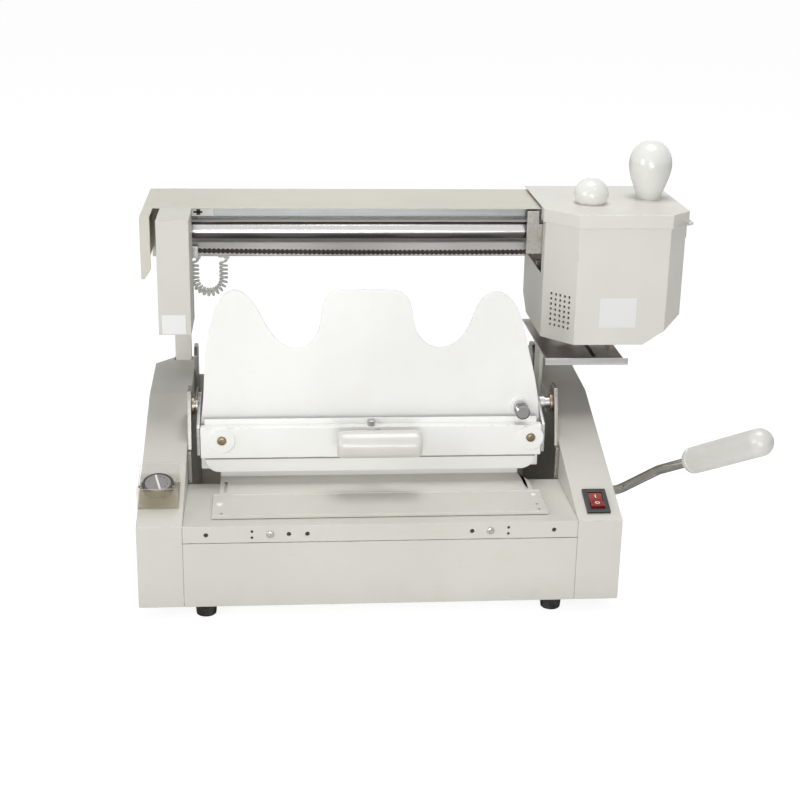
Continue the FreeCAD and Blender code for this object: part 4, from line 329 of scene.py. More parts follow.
def glue_stained(name, colour):
    """Steel tray browned by heat, with dried glue smears."""
    metal = Finish(name)
    lines, cloud = metal.noise(1.0, 3, (6, 700, 700)), metal.noise(22, 5)
    drips = metal.noise(70, 4, (1, 0.35, 1)).between(0.56, 0.66)
    base = metal.blend(toned(colour, 0.9), toned(colour, 1.1), lines)
    base = metal.blend(base, (0.16, 0.115, 0.09), cloud.between(0.35, 0.65) * 0.8)
    base = metal.blend(base, (0.62, 0.52, 0.36), drips * 0.5)
    base = metal.blend(base, toned(colour, 1.35), metal.rim * 0.6)
    rough = 0.38 + drips * 0.2 + (cloud - 0.5) * 0.15
    return metal.surface(base, rough, lines * 0.3 + drips * 0.7, 0.25, 0.0004, {"Metallic": 1 - drips * 0.8})


def printed(name, colour):
    """Plain paper label under clear film, lifting and greying at its edges."""
    paper = Finish(name)
    fibre, cloud = paper.noise(600, 3), paper.noise(45, 3)
    base = paper.blend(toned(colour, 0.97), colour, fibre)
    base = paper.blend(base, (0.72, 0.69, 0.60), paper.rim * cloud * 0.5)
    rough = 0.35 + cloud * 0.12
    return paper.surface(base, rough, fibre * 0.3 + cloud * 0.7, 0.1, 0.0003, {"Coat Weight": 0.2})


FINISHES = {
    "ivory_paint": (painted, "ivory", 0.42),
    "panel_paint": (painted, "panel", 0.46),
    "beam_paint": (painted, "beam", 0.44),
    "white_paint": (painted, "white", 0.34, 0.4, 0.15),
    "steel": (bare_metal, (0.50, 0.50, 0.49), 0.32, (6, 500, 500)),
    # Painted shade: a darker copy of steel for the bay's side plates, the carriage saddle and the hanger, standing in
    # for the shade that falls on them.
    "shadow_steel": (bare_metal, (0.30, 0.29, 0.27), 0.42, (400, 6, 400), 0.5),
    "anodised_strip": (bare_metal, (0.25, 0.265, 0.265), 0.40, (5, 700, 700), 0.1),
    # lever_chrome and knob_chrome carry the painted reflection of polished; bar_chrome carries the painted reflection
    # bands of ground_bar.
    "lever_chrome": (polished, (0.74, 0.72, 0.69), 0.09, (9, 60, 60), 0.10, (0.25, 0.62)),
    "knob_chrome": (polished, (0.34, 0.33, 0.32), 0.14, (300, 300, 9), 0.06),
    "bar_chrome": (ground_bar,),
    "washer_paint": (painted, "white", 0.36, 0.4, 0.1),
    "black_steel": (bare_metal, (0.050, 0.044, 0.040), 0.42, (90, 90, 90), 0.4),
    "aluminium_cast": (cast_metal, (0.50, 0.50, 0.49), 0.45),
    "bronze": (bare_metal, (0.36, 0.29, 0.20), 0.38, (300, 6, 300), 0.5),
    "dark_brass": (bare_metal, (0.26, 0.21, 0.13), 0.36, (90, 90, 90), 0.5),
    "brass": (bare_metal, (0.62, 0.47, 0.20), 0.28, (6, 300, 300), 0.3),
    "rubber_black": (rubbery, (0.010, 0.0095, 0.009)),
    "white_plastic": (moulded, (0.80, 0.80, 0.76), 0.18, 0.5, 0.12),
    "grip_plastic": (moulded, (0.66, 0.65, 0.61), 0.26, 0.3, 0.15),
    "cord_plastic": (moulded, (0.93, 0.93, 0.90), 0.40, 0.0, 0.1),
    "clear_plastic": (clear_plastic,),
    "black_plastic": (moulded, (0.012, 0.012, 0.013), 0.34, 0.15),
    "red_plastic": (moulded, (0.27, 0.022, 0.016), 0.22, 0.5),
    "grey_plastic": (moulded, (0.25, 0.235, 0.235), 0.30, 0.2),
    "white_nylon": (moulded, (0.80, 0.80, 0.77), 0.40),
    "glue_stained": (glue_stained, (0.42, 0.38, 0.35)),
    "label_paper": (printed, (0.80, 0.80, 0.79)),
    "mark_white": (moulded, (0.85, 0.83, 0.80), 0.35),
    "mark_black": (moulded, (0.03, 0.03, 0.03), 0.45),
}


def finish(name):
    """Material of a name, made when it is first asked for; a word among its values names a colour setting."""
    made = bpy.data.materials.get(name + FINISHED)
    if made:
        return made
    maker, *values = FINISHES[name]
    return maker(name, *(getattr(settings(), value) if isinstance(value, str) else value for value in values))


# Mesh tools

WELD, TINY = 2e-6, 1e-7
LEVEL, SHARP, CREASE = math.radians(0.4), math.radians(28), math.radians(34)
FLAT_WEIGHT = 80


def fresh():
    """Empty mesh with the value that marks eased edges."""
    mesh = bmesh.new()
    mesh.loops.layers.float.new("rim")
    return mesh


def shifted(mesh, matrix):
    bmesh.ops.transform(mesh, matrix=matrix, verts=mesh.verts)
    return mesh


def stood(mesh, spot, way=Z_WAY):
    """Mesh made round Z at zero, stood on a spot with its Z along a way."""
    return shifted(mesh, Matrix.Translation(spot) @ way.to_track_quat("Z", "Y").to_matrix().to_4x4())


def tilted(mesh, x, along, above):
    """Mesh made flat at zero, laid on a console's slope."""
    return shifted(mesh, Matrix.Translation(on_slope(x, along, above)) @ Matrix.Rotation(SLOPE, 4, "X"))


def ease(mesh, width, segments=2, least=0.0):
    """Rounds the sharp edges and marks them for the finish's wear."""
    rim = mesh.loops.layers.float["rim"]
    sharp = [edge for edge in mesh.edges
             if edge.is_manifold and edge.calc_face_angle(0) > SHARP
             and edge.calc_length() > least * MM]
    made = bmesh.ops.bevel(mesh, geom=sharp, offset=width * MM, offset_type="OFFSET", segments=segments,
                           profile=0.5, affect="EDGES", clamp_overlap=False, material=-1)
    for face in made["faces"]:
        for loop in face.loops:
            loop[rim] = 1.0
    return mesh


def block(middle, size, width):
    """Box of a middle and a size in metres, its edges eased by a width in millimetres."""
    mesh = fresh()
    bmesh.ops.create_cube(mesh, size=1.0, matrix=Matrix.Translation(middle) @ Matrix.Diagonal((*size, 1.0)))
    return ease(mesh, width) if width else mesh


def slab(low, high, width=0.0):
    """Block between two layout corners."""
    low, high = at(*low), at(*high)
    return block((low + high) / 2, high - low, width)


def brick(wide, deep, high, width=0.0):
    """Block standing on zero, in millimetres."""
    return block((0, 0, high * MM / 2), (wide * MM, deep * MM, high * MM), width)


def spun(profile, steps):
    """Skin turned round Z from (radius, height) pairs in millimetres, open where they start or end off it."""
    mesh = fresh()
    points = [mesh.verts.new((radius * MM, 0, height * MM)) for radius, height in profile]
    lines = [mesh.edges.new(pair) for pair in zip(points, points[1:])]
    bmesh.ops.spin(mesh, geom=points + lines, cent=(0, 0, 0), axis=(0, 0, 1), dvec=(0, 0, 0),
                   angle=2 * math.pi, steps=steps, use_merge=True)
    return mesh


def lathe(profile, steps=ROUND):
    """Solid turned round Z from (radius, height) pairs in millimetres."""
    mesh = spun(profile, steps)
    bmesh.ops.remove_doubles(mesh, verts=mesh.verts, dist=TINY)
    bmesh.ops.recalc_face_normals(mesh, faces=mesh.faces)
    return mesh


def drum(radius, high, steps):
    """Plain cylinder about zero, in millimetres."""
    mesh = fresh()
    bmesh.ops.create_cone(mesh, cap_ends=True, segments=steps, radius1=radius * MM, radius2=radius * MM,
                          depth=high * MM)
    return mesh


def joined(parts):
    """One mesh that holds several."""
    whole = fresh()
    for part in parts:
        data = bpy.data.meshes.new("part")
        part.to_mesh(data)
        part.free()
        whole.from_mesh(data)
        bpy.data.meshes.remove(data)
    return whole


def rounded_curve(points, rounds=2):
    """Polyline whose corners are cut again and again into a smooth curve."""
    for _ in range(rounds):
        cut = [points[0]]
        for (x0, y0), (x1, y1) in zip(points, points[1:]):
            cut += [(x0 * 0.75 + x1 * 0.25, y0 * 0.75 + y1 * 0.25), (x0 * 0.25 + x1 * 0.75, y0 * 0.25 + y1 * 0.75)]
        points = cut + [points[-1]]
    return points


def settle(mesh, name, coat, body, replaces=()):
    """Finished piece of a mesh: smooth where it curves, flat where it is flat, and riding on its body."""
    data = bpy.data.meshes.new(name)
    mesh.to_mesh(data)
    mesh.free()
    data.shade_smooth()
    data.set_sharp_from_angle(angle=CREASE)
    data.materials.append(finish(coat))
    piece = placed(name, data)
    flat = piece.modifiers.new("flat_faces", "WEIGHTED_NORMAL")
    flat.keep_sharp = True
    flat.weight = FLAT_WEIGHT
    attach(piece, body)
    if replaces:
        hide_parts(*replaces)
    return piece


def body_of(node):
    parent = frame["nodes"][node].parent
    return next(name for name, empty in frame["bodies"].items() if empty == parent)


def dress(node, width, coat=None, segments=2, least=0.9):
    """A solid's skin with its edges eased, in its finish."""
    mesh = fresh()
    mesh.from_mesh(frame["nodes"][node].data)
    bmesh.ops.remove_doubles(mesh, verts=mesh.verts, dist=WELD)
    bmesh.ops.dissolve_limit(mesh, angle_limit=LEVEL, verts=mesh.verts, edges=mesh.edges)
    if width:
        ease(mesh, width, segments, least)
    slot = SLOT_OF[node]
    return settle(mesh, node + "_surface", coat or slot, body_of(node), (node,))


def dress_each(rows, **easing):
    """Dresses nodes from rows of a node, its easing and, where that isn't its slot's own, its finish."""
    for node, width, *coat in rows:
        dress(node, width, *coat, **easing)


# Thin plates: two corners, easing, finish, body and slot

PLATES = {
    # Painted light: a white sheet on the rear wall under the beam, lighter than the beam's paint, stands in for light
    # falling in that shaded recess.
    "beam_lining": ((-181.5, 300.0, 286), (174, 300.4, 346.5), 0.1, "white_paint", "frame", "ivory_paint"),
    "rail_end_film": ((-187.6, 209.95, 348.5), (-161, 210.02, 357), 0, "white_nylon", "frame", "white_nylon"),
    "head_label": ((229, 146.75, 246.5), (266.6, 147.05, 277.4), 0.1, "label_paper", "head", "white_plastic"),
    # Painted shadow: a grey strip on the jaw plate just below the bar, where the bar's shadow falls.
    "jaw_seam": ((-170, 105.7, 123.7), (162, 106.0, 125.2), 0, "grey_plastic", "jaw", "grey_plastic"),
    "tray_lip": ((176.5, 149.7, 206.2), (262.5, 150.1, 212.8), 0.1, "steel", "frame", "steel"),
    "column_label": ((-210.6, 136.75, 244.9), (-187.4, 137.05, 264.6), 0.1, "label_paper", "frame", "white_plastic"),
    "rear_label": ((-60, 304.9, 60), (10, 305.25, 96), 0.1, "label_paper", "frame", "white_plastic"),
}


def plates(*names):
    for name in names:
        low, high, width, coat, body, slot = PLATES[name]
        settle(slab(low, high, width), name, coat, body)


# Fasteners

PAN_PROFILE = ((1, 0), (1, 0.45), (0.93, 0.72), (0.78, 0.92), (0.56, 1))
CROSS = ((0.50, 0.0), (0.50, 0.12), (0.31, 0.12), (0.12, 0.12), (0.12, 0.31), (0.12, 0.50))
SCREW_STEPS, RECESS_DEPTH = 24, 0.62
FIRST_TURN, NEXT_TURN = 17, 41


def screw_head(radius, high, turn):
    """Pan head round Z, with its cross recess sunk in the top."""
    mesh = spun([(radius * across, high * up) for across, up in PAN_PROFILE], SCREW_STEPS)
    top = [edge for edge in mesh.edges if edge.is_boundary and edge.verts[0].co.z > high * MM * 0.9]
    sunk = bmesh.ops.extrude_edge_only(mesh, edges=top)["geom"]
    inner = [item for item in sunk if isinstance(item, bmesh.types.BMVert)]
    outline = []
    for quarter in range(4):
        across, up = math.cos(quarter * math.pi / 2), math.sin(quarter * math.pi / 2)
        for x, y in CROSS:
            outline.append((x * across - y * up, x * up + y * across))
    for vert in inner:
        step = round(math.atan2(vert.co.y, vert.co.x) / (2 * math.pi / SCREW_STEPS)) % SCREW_STEPS
        vert.co.x, vert.co.y = (part * radius * MM for part in outline[step])
    rim_edges = [item for item in sunk if isinstance(item, bmesh.types.BMEdge)
                 and item.verts[0] in inner and item.verts[1] in inner]
    floor = bmesh.ops.extrude_edge_only(mesh, edges=rim_edges)["geom"]
    for item in floor:
        if isinstance(item, bmesh.types.BMVert):
            item.co.z -= high * MM * RECESS_DEPTH
    bmesh.ops.holes_fill(mesh, edges=[edge for edge in mesh.edges if edge.is_boundary], sides=0)
    bmesh.ops.recalc_face_normals(mesh, faces=mesh.faces)
    return shifted(mesh, Matrix.Rotation(math.radians(turn), 4, "Z"))


def screws(name, body, places, radius, high, coat="steel", replaces=()):
    """Screw heads of one kind; each place is a spot and the way that its head faces."""
    heads = [stood(screw_head(radius, high, FIRST_TURN + NEXT_TURN * index), spot, way)
             for index, (spot, way) in enumerate(places)]
    return settle(joined(heads), name, coat, body, replaces)


# Properties

def colour_property(name, description, default):
    return FloatVectorProperty(name=name, description=description, default=default, size=3, min=0, max=1,
                               subtype="COLOR")


def length_property(name, description, default):
    return FloatProperty(name=name, description=description, default=default, min=0, unit="LENGTH")


def power_property(name, description, default):
    return FloatProperty(name=name, description=description, default=default, min=0, unit="POWER")


class BinderSettings(bpy.types.PropertyGroup):
    """Sizes and colours of the machine's dressing and its studio."""
    ivory: colour_property("Ivory paint", "Paint of the casings, the column and the glue head", (0.735, 0.722, 0.668))
    panel: colour_property("Panel paint", "Paint of the front panel and the table", (0.622, 0.610, 0.560))
    beam: colour_property("Beam paint", "Paint of the beam cover", (0.620, 0.592, 0.515))
    white: colour_property("White paint", "Paint of the clamp's plates", (0.885, 0.885, 0.860))
    cord_wire: length_property("Cord thickness", "Outer thickness of the curly cord's wire", 0.0028)
    cord_coil: length_property("Coil width", "Outer width of the curly cord's coil", 0.010)
    cord_curls: IntProperty(name="Curls", description="Turns of the curly cord", default=19, min=4)
    chain_pitch: length_property("Chain pitch", "Distance between the chain's pins", 0.0047625)
    key_power: power_property("Key lamp", "Power of the soft lamp beside the camera", 9.5)
    low_power: power_property("Low lamp", "Power of the low lamp in front", 9.5)
    side_power: power_property("Side lamp", "Power of the lamp at the left", 10.0)
    top_power: power_property("Top lamp", "Power of the lamp overhead", 24.0)
    sky: FloatProperty(name="Room light", description="Strength of the even light of the room", default=0.31)


# Studio

FOCAL_LENGTH = 67.4036
CAMERA_PLACE = (-97.3, -1299.9, 664.4)
CAMERA_TILT = math.radians(18.7785)
CAMERA_YAW = math.radians(-4.91886)
CAMERA_ROLL = math.radians(-1.05319)


def make_camera():
    """Camera at the photograph's own place."""
    side = Vector((math.cos(CAMERA_YAW), math.sin(CAMERA_YAW), 0))
    ahead = Vector((-math.sin(CAMERA_YAW), math.cos(CAMERA_YAW), 0))
    forward = math.cos(CAMERA_TILT) * ahead - math.sin(CAMERA_TILT) * Z_WAY
    upward = math.sin(CAMERA_TILT) * ahead + math.cos(CAMERA_TILT) * Z_WAY
    right = math.cos(CAMERA_ROLL) * side - math.sin(CAMERA_ROLL) * upward
    up = math.sin(CAMERA_ROLL) * side + math.cos(CAMERA_ROLL) * upward
    data = bpy.data.cameras.new("camera")
    data.lens = FOCAL_LENGTH
    data.sensor_width = 36
    data.clip_start, data.clip_end = 0.05, 50
    camera = placed("camera", data)
    camera.matrix_world = Matrix.Translation(at(*CAMERA_PLACE)) @ Matrix((right, up, -forward)).transposed().to_4x4()
    bpy.context.scene.camera = camera


LAMP_AIM = Vector((-0.02, -0.02, 0.2))
LAMPS = (("key_lamp", "key_power", (-0.30, -2.2, 0.66), (0.7, 0.6)),
         ("low_lamp", "low_power", (0.02, -2.3, 0.24), (0.8, 0.4)),
         ("side_lamp", "side_power", (-1.7, -1.1, 0.8), (0.8, 0.8)),
         ("top_lamp", "top_power", (0.1, 0.05, 2.3), (1.2, 1.0)))


def make_lamps():
    """Soft rectangular lamps, all aimed at the machine."""
    for name, setting, place, size in LAMPS:
        data = bpy.data.lights.new(name, "AREA")
        data.energy, data.shape, data.size, data.size_y = getattr(settings(), setting), "RECTANGLE", *size
        lamp = placed(name, data)
        aim = LAMP_AIM - Vector(place)
        lamp.matrix_world = Matrix.Translation(place) @ aim.to_track_quat("-Z", "Y").to_matrix().to_4x4()


def make_room():
    """Even room light, seen as plain white by the camera and in reflections."""
    world = bpy.data.worlds.new("room")
    bpy.context.scene.world = world
    tree = empty_tree(world)
    output = tree.nodes.new("ShaderNodeOutputWorld")
    background = tree.nodes.new("ShaderNodeBackground")
    path = tree.nodes.new("ShaderNodeLightPath")
    tree.links.new(background.outputs[0], output.inputs[0])
    seen = Shade(path.outputs["Is Camera Ray"]) + Shade(path.outputs["Is Transmission Ray"])
    mirrored = Shade(path.outputs["Is Glossy Ray"])
    strength = settings().sky
    total = seen.math("MINIMUM", seen + mirrored, 1.0)
    tree.links.new((strength + total * (1.0 - strength)).socket, background.inputs["Strength"])
    background.inputs["Color"].default_value = (1.0, 1.0, 1.0, 1.0)


FLOOR_REACH, FLOOR_TONE, FLOOR_GLOW, FLOOR_SHARE = 25.0, 0.86, 1.35, 0.66


def make_floor():
    """Plain pale floor that keeps the shadow and meets the white background."""
    mesh = bmesh.new()
    bmesh.ops.create_grid(mesh, x_segments=1, y_segments=1, size=FLOOR_REACH)
    data = bpy.data.meshes.new("floor")
    mesh.to_mesh(data)
    mesh.free()
    material = bpy.data.materials.new("floor_white")
    tree = empty_tree(material)
    output = tree.nodes.new("ShaderNodeOutputMaterial")
    path = tree.nodes.new("ShaderNodeLightPath")
    seen = Shade(path.outputs["Is Camera Ray"]) + Shade(path.outputs["Is Transmission Ray"])
    matt = seen.node("ShaderNodeBsdfDiffuse", inputs={"Color": (FLOOR_TONE, FLOOR_TONE, FLOOR_TONE, 1)})
    glow = seen.node("ShaderNodeEmission", inputs={"Strength": FLOOR_GLOW})
    mixed = seen.node("ShaderNodeMixShader", inputs={0: seen * FLOOR_SHARE, 1: matt, 2: glow})
    tree.links.new(mixed.socket, output.inputs["Surface"])
    data.materials.append(material)
    placed("floor", data)


class BINDER_OT_stage(bpy.types.Operator):
    """Camera, lamps, room light and floor"""
    bl_idname = "binder.stage"
    bl_label = "Stage"

    def execute(self, context):
        make_camera()
        make_room()
        make_lamps()
        make_floor()
        bpy.context.scene.view_settings.view_transform = "Standard"
        return {"FINISHED"}


# Curly cord

CORD_STEPS = 12
CORD_RIGHT, CORD_LEFT, CORD_DEPTH, CORD_TOP, CORD_LIMB = -155.3, -186.5, 308.0, 283.0, 24.2
CORD_EASE = 0.4
COLLAR_PROFILE = ((1.6, 0.05), (3.3, 0.05), (3.3, -0.7), (2.8, -0.9), (3.1, -1.4), (2.6, -1.7), (2.9, -2.1),
                  (2.0, -2.5), (1.6, -2.5), (1.6, 0.05))


def cord_points(wire, coil, curls):
    """The cord's middle line: straight out of one gland, a coil round a hanging loop, and into the other."""
    loop_radius = (CORD_RIGHT - CORD_LEFT) / 2
    arc = math.pi * loop_radius
    length = 2 * CORD_LIMB + arc
    radius = (coil - wire) / 2
    lead = wire + radius + CORD_EASE

    def loop_place(step):
        if step <= CORD_LIMB:
            return Vector((CORD_RIGHT, CORD_DEPTH, CORD_TOP - step)), -Z_WAY
        if step >= CORD_LIMB + arc:
            return Vector((CORD_LEFT, CORD_DEPTH, CORD_TOP - CORD_LIMB + step - CORD_LIMB - arc)), Z_WAY
        angle = (step - CORD_LIMB) / loop_radius
        spot = Vector(((CORD_RIGHT + CORD_LEFT) / 2 + loop_radius * math.cos(angle), CORD_DEPTH,
                       CORD_TOP - CORD_LIMB - loop_radius * math.sin(angle)))
        return spot, Vector((-math.sin(angle), 0, -math.cos(angle)))

    def around(step, angle, reach=radius):
        spot, way = loop_place(step)
        return spot + (Y_WAY.cross(way) * math.sin(angle) + Y_WAY * math.cos(angle)) * reach

    quarter = math.pi / 2
    grown = radius / math.cos(math.pi / CORD_STEPS)
    begin, end = around(0, -quarter), around(length, quarter)
    points = [begin, begin - Z_WAY * wire * 0.5, begin - Z_WAY * wire]
    for share in (0.35, 0.7):
        points.append(around(wire + (lead - wire) * share, -quarter * (1 - share ** 1.4)))
    turns = curls * CORD_STEPS
    for index in range(turns + 1):
        step = lead + (length - 2 * lead) * index / turns
        points.append(around(step, 2 * math.pi * index / CORD_STEPS, grown))
    for share in (0.7, 0.35):
        points.append(around(length - wire - (lead - wire) * share, quarter * (1 - share ** 1.4)))
    points += [end - Z_WAY * wire, end - Z_WAY * wire * 0.5, end]
    return [at(*point) for point in points]


def line_length(points):
    return sum((second - first).length for first, second in zip(points, points[1:]))


class BINDER_OT_cord(bpy.types.Operator):
    """Curly cord behind the beam's left end, with its two glands"""
    bl_idname = "binder.cord"
    bl_label = "Curly cord"

    def execute(self, context):
        values = settings()
        wire, coil = values.cord_wire / MM, values.cord_coil / MM
        points = cord_points(wire, coil, values.cord_curls)
        curve = bpy.data.curves.new("curly_cord_wire", "CURVE")
        curve.dimensions = "3D"
        curve.bevel_depth = values.cord_wire / 2
        curve.bevel_resolution = 3
        curve.resolution_u = 3
        curve.use_fill_caps = True
        spline = curve.splines.new("NURBS")
        spline.points.add(len(points) - 1)
        for spot, point in zip(spline.points, points):
            spot.co = (*point, 1.0)
        spline.order_u = 3
        spline.use_endpoint_u = True
        curve.materials.append(finish("cord_plastic"))
        cord = placed("curly_cord_wire", curve)
        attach(cord, "frame")
        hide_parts("curly_cord")
        smooth = [points[0]]
        for first, middle, last in zip(points, points[1:], points[2:]):
            smooth += [(first + middle) / 2, (first + middle * 6 + last) / 8]
        smooth.append(points[-1])
        round(line_length(smooth), 4)
        dress("cord_glands", 1.2, segments=3)
        settle(joined(stood(lathe(COLLAR_PROFILE, 28), spot) for spot in (points[0], points[-1])),
               "cord_collars", "cord_plastic", "frame")
        return {"FINISHED"}


# Frame sheet metal

class BINDER_OT_casings(bpy.types.Operator):
    """Base pan, side casings, front panel, table cover and the steel plates of the bay"""
    bl_idname = "binder.casings"
    bl_label = "Casings"

    def execute(self, context):
        dress_each((("left_casing", 0.65, "panel_paint"), ("right_casing", 0.65, "panel_paint"), ("base_pan", 0.6),
                    ("front_panel", 0.5), ("table_cover", 0.6), ("press_table", 0.4), ("rear_nip_bar", 0.6),
                    ("front_nip_plate", 0.5, "panel_paint"), ("left_side_plate", 0.5, "shadow_steel"),
                    ("right_side_plate", 0.5, "shadow_steel"), ("pivot_bushes", 0.3), ("left_upright", 0.6),
                    ("right_upright", 0.6), ("tray_bracket", 0.4), ("drip_tray", 0.4, "glue_stained")))
        return {"FINISHED"}


FOOT_PLACES = [(x, y) for x in (-168, 168) for y in (16, 288)]
FOOT_SEAT = 5.2
FOOT_PROFILE = ((0, 5), (3.8, 5), (3.8, 0.4), (4.4, 0), (8.9, 0), (9.5, 0.6), (9.8, 3), (10.2, 9), (10.5, 12.2),
                (10.5, 13.4), (10.1, 14), (0, 14))


class BINDER_OT_feet(bpy.types.Operator):
    """Rubber feet with their screws"""
    bl_idname = "binder.feet"
    bl_label = "Feet"

    def execute(self, context):
        feet = [stood(lathe(FOOT_PROFILE), at(*place, 0)) for place in FOOT_PLACES]
        heads = [(at(*place, FOOT_SEAT), -Z_WAY) for place in FOOT_PLACES]
        settle(joined(feet), "rubber_feet_turned", "rubber_black", "frame", ("rubber_feet",))
        screws("foot_screws", "frame", heads, 3.2, 2.0)
        return {"FINISHED"}


RAIL_MARKS = (((-187.4, 209.90, 348.6), (-183, 209.97, 356.9)), ((-181, 209.90, 351.4), (-172, 209.97, 353.6)),
              ((-178, 209.90, 349.5), (-174, 209.97, 355.5)))


class BINDER_OT_gantry(bpy.types.Operator):
    """Beam cover with a white lining that paints light on its shaded rear wall, column cover, end plates, guide rod
    and rail strip with its end film
    """
    bl_idname = "binder.gantry"
    bl_label = "Gantry"

    def execute(self, context):
        dress_each((("beam_cover", 0.6, "beam_paint"), ("column_cover", 0.6, "panel_paint")))
        # Painted light on the shaded rear wall under the beam.
        plates("beam_lining")
        dress_each((("gantry_end_plates", 0.6), ("rail_strip", 0.4, "anodised_strip"), ("chain_anchors", 0.5)))
        low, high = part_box("guide_rod")
        middle, long = (low + high) / 2, (high.x - low.x) / MM
        radius = (high.z - low.z) / 2 / MM
        profile = [(0, 3), (2.2, 0.6), (2.6, 0), (radius - 1, 0), (radius, 1), (radius, long - 1),
                   (radius - 1, long), (2.6, long), (2.2, long - 0.6), (0, long - 3)]
        rod = stood(lathe(profile, 96), Vector((low.x, middle.y, middle.z)), X_WAY)
        settle(rod, "guide_rod_bar", "bar_chrome", "frame", ("guide_rod",))
        plates("rail_end_film")
        settle(joined(slab(*mark) for mark in RAIL_MARKS), "rail_end_marks", "mark_black", "frame")
        return {"FINISHED"}


# Drive chain

CHAIN_LIFT, CHAIN_SAG, CHAIN_END = 2.2, 2.0, 2.15
PLATE_RADIUS, PLATE_WAIST, PLATE_THICK, PLATE_GAP = 2.35, 1.2, 0.42, 0.03
ROLLER_RADIUS, ROLLER_INSET, PIN_RADIUS = 1.55, 0.95, 0.85


def link_plate(pitch, thick):
    """Waisted side plate of one link, lying in X and Z, its first pin at zero."""
    mesh = fresh()
    outline = []
    for end, turn in ((0.0, 90), (pitch, -90)):
        for step in range(7):
            angle = math.radians(turn + step * 30)
            outline.append((end + PLATE_RADIUS * math.cos(angle), PLATE_RADIUS * math.sin(angle)))
        outline.append((pitch / 2, -PLATE_WAIST if turn > 0 else PLATE_WAIST))
    face = mesh.faces.new([mesh.verts.new((x * MM, 0, z * MM)) for x, z in outline])
    grown = bmesh.ops.extrude_face_region(mesh, geom=[face])["geom"]
    bmesh.ops.translate(mesh, vec=(0, thick * MM, 0), verts=[item for item in grown
                                                             if isinstance(item, bmesh.types.BMVert)])
    bmesh.ops.recalc_face_normals(mesh, faces=mesh.faces)
    return mesh


class BINDER_OT_chain(bpy.types.Operator):
    """Roller chain: alternate inner and outer links, rollers and riveted pins"""
    bl_idname = "binder.chain"
    bl_label = "Drive chain"

    def execute(self, context):
        low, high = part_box("drive_chain")
        pitch = settings().chain_pitch / MM
        first = Vector((low.x + CHAIN_END * MM, low.y, (low.z + high.z) / 2))
        count = round((high.x - low.x - 2 * CHAIN_END * MM) / settings().chain_pitch)
        deep = (high.y - low.y) / MM
        parts = []

        def pin_place(index):
            share = index / count
            return first + Vector((index * pitch, 0, CHAIN_LIFT - CHAIN_SAG * 4 * share * (1 - share))) * MM

        for index in range(count):
            inset = 0.0 if index % 2 else PLATE_THICK + PLATE_GAP
            step = pin_place(index + 1) - pin_place(index)
            lean = Matrix.Rotation(-math.atan2(step.z, step.x), 4, "Y")
            for y in (inset, deep - PLATE_THICK - inset):
                parts.append(shifted(link_plate(pitch, PLATE_THICK),
                                     Matrix.Translation(pin_place(index) + Vector((0, y, 0)) * MM) @ lean))
        for index in range(count + 1):
            spot = pin_place(index) + Vector((0, deep / 2, 0)) * MM
            parts.append(stood(drum(ROLLER_RADIUS, deep - 2 * ROLLER_INSET, 10), spot, Y_WAY))
            parts.append(stood(drum(PIN_RADIUS, deep, 8), spot, Y_WAY))
        settle(joined(parts), "drive_chain_links", "black_steel", "frame", ("drive_chain",))
        return {"FINISHED"}


# Glue head

DOME_CURVE = ((0, 26), (6.1, 25.4), (11.5, 22.6), (15.5, 17.8), (17.6, 12.5), (18, 7.4), (15.9, 2.2))
BULB_CURVE = ((0, 60), (7, 59.6), (12.8, 57), (18.2, 51.2), (21.6, 43), (22.5, 34.5), (20.9, 25.2), (17.6, 15.6),
              (14.2, 6.5), (13.3, 3.2))


class BINDER_OT_head(bpy.types.Operator):
    """Head shell, lid, knobs, hinge, carriage and label"""
    bl_idname = "binder.head"
    bl_label = "Glue head"

    def execute(self, context):
        dress("head_shell", 0.65, least=1.2, segments=3)
        dress("head_lid", 0.7, segments=4, least=1.2)
        dress_each((("carriage_saddle", 0.6, "shadow_steel"), ("rod_bushings", 0.5), ("bushing_seal", 0.5),
                    ("hanger_plate", 0.5, "shadow_steel"), ("lid_hinge", 0.3), ("guide_roller", 0.4)))
        dome = rounded_curve(DOME_CURVE) + [(14.4, 0.5), (14.0, 0), (0, 0)]
        bulb = rounded_curve(BULB_CURVE, 3) + [(13.0, 1.2), (12.4, 0.6), (12.9, 0), (0, 0)]
        for name, node, profile, place in (("lid_lift_knob_dome", "lid_lift_knob", dome, (226, 206, 363)),
                                           ("push_knob_bulb", "push_knob", bulb, (292.5, 233, 363))):
            settle(stood(lathe(profile, FINE), at(*place)), name, "white_plastic", "lid", (node,))
        plates("head_label")
        return {"FINISHED"}


class BINDER_OT_glue_works(bpy.types.Operator):
    """Glue pot, heaters, doctor blade, glue roller and its drive"""
    bl_idname = "binder.glue_works"
    bl_label = "Glue works"

    def execute(self, context):
        dress_each((("glue_pot", 0.8), ("shaft_bushes", 0.3), ("pot_heaters", 0.4),
                    ("doctor_blade", 0.2, "glue_stained"), ("glue_roller", 0.6, "glue_stained"),
                    ("roller_gear", 0.15), ("drive_sprocket", 0.15)), least=0.5)
        return {"FINISHED"}


# Clamp

GROOVES, GROOVE_STEP = 5, 1.9
JAW_FRONT, WASHER_FACE, PIN_HEIGHT, PIN_SIDES = 96, 94.6, 147.5, (-153, 155)
PIN_PROFILE = ((0, 0), (5, 0), (5, 79.2), (4.2, 80), (0, 80))
STUD_PROFILE = ((0, 0), (4, 0), (4, 4.7), (3.2, 5.5), (0, 5.5))
WASHER_PROFILE = ((4.4, 0), (13, 0), (13, 1.5), (12.3, 2.2), (5.2, 2.2), (4.4, 1.6), (4.4, 0))
THREAD_START, THREAD_PITCH, THREAD_END = 38, 2.0, 2
HANDLE_RADIUS = 13.5


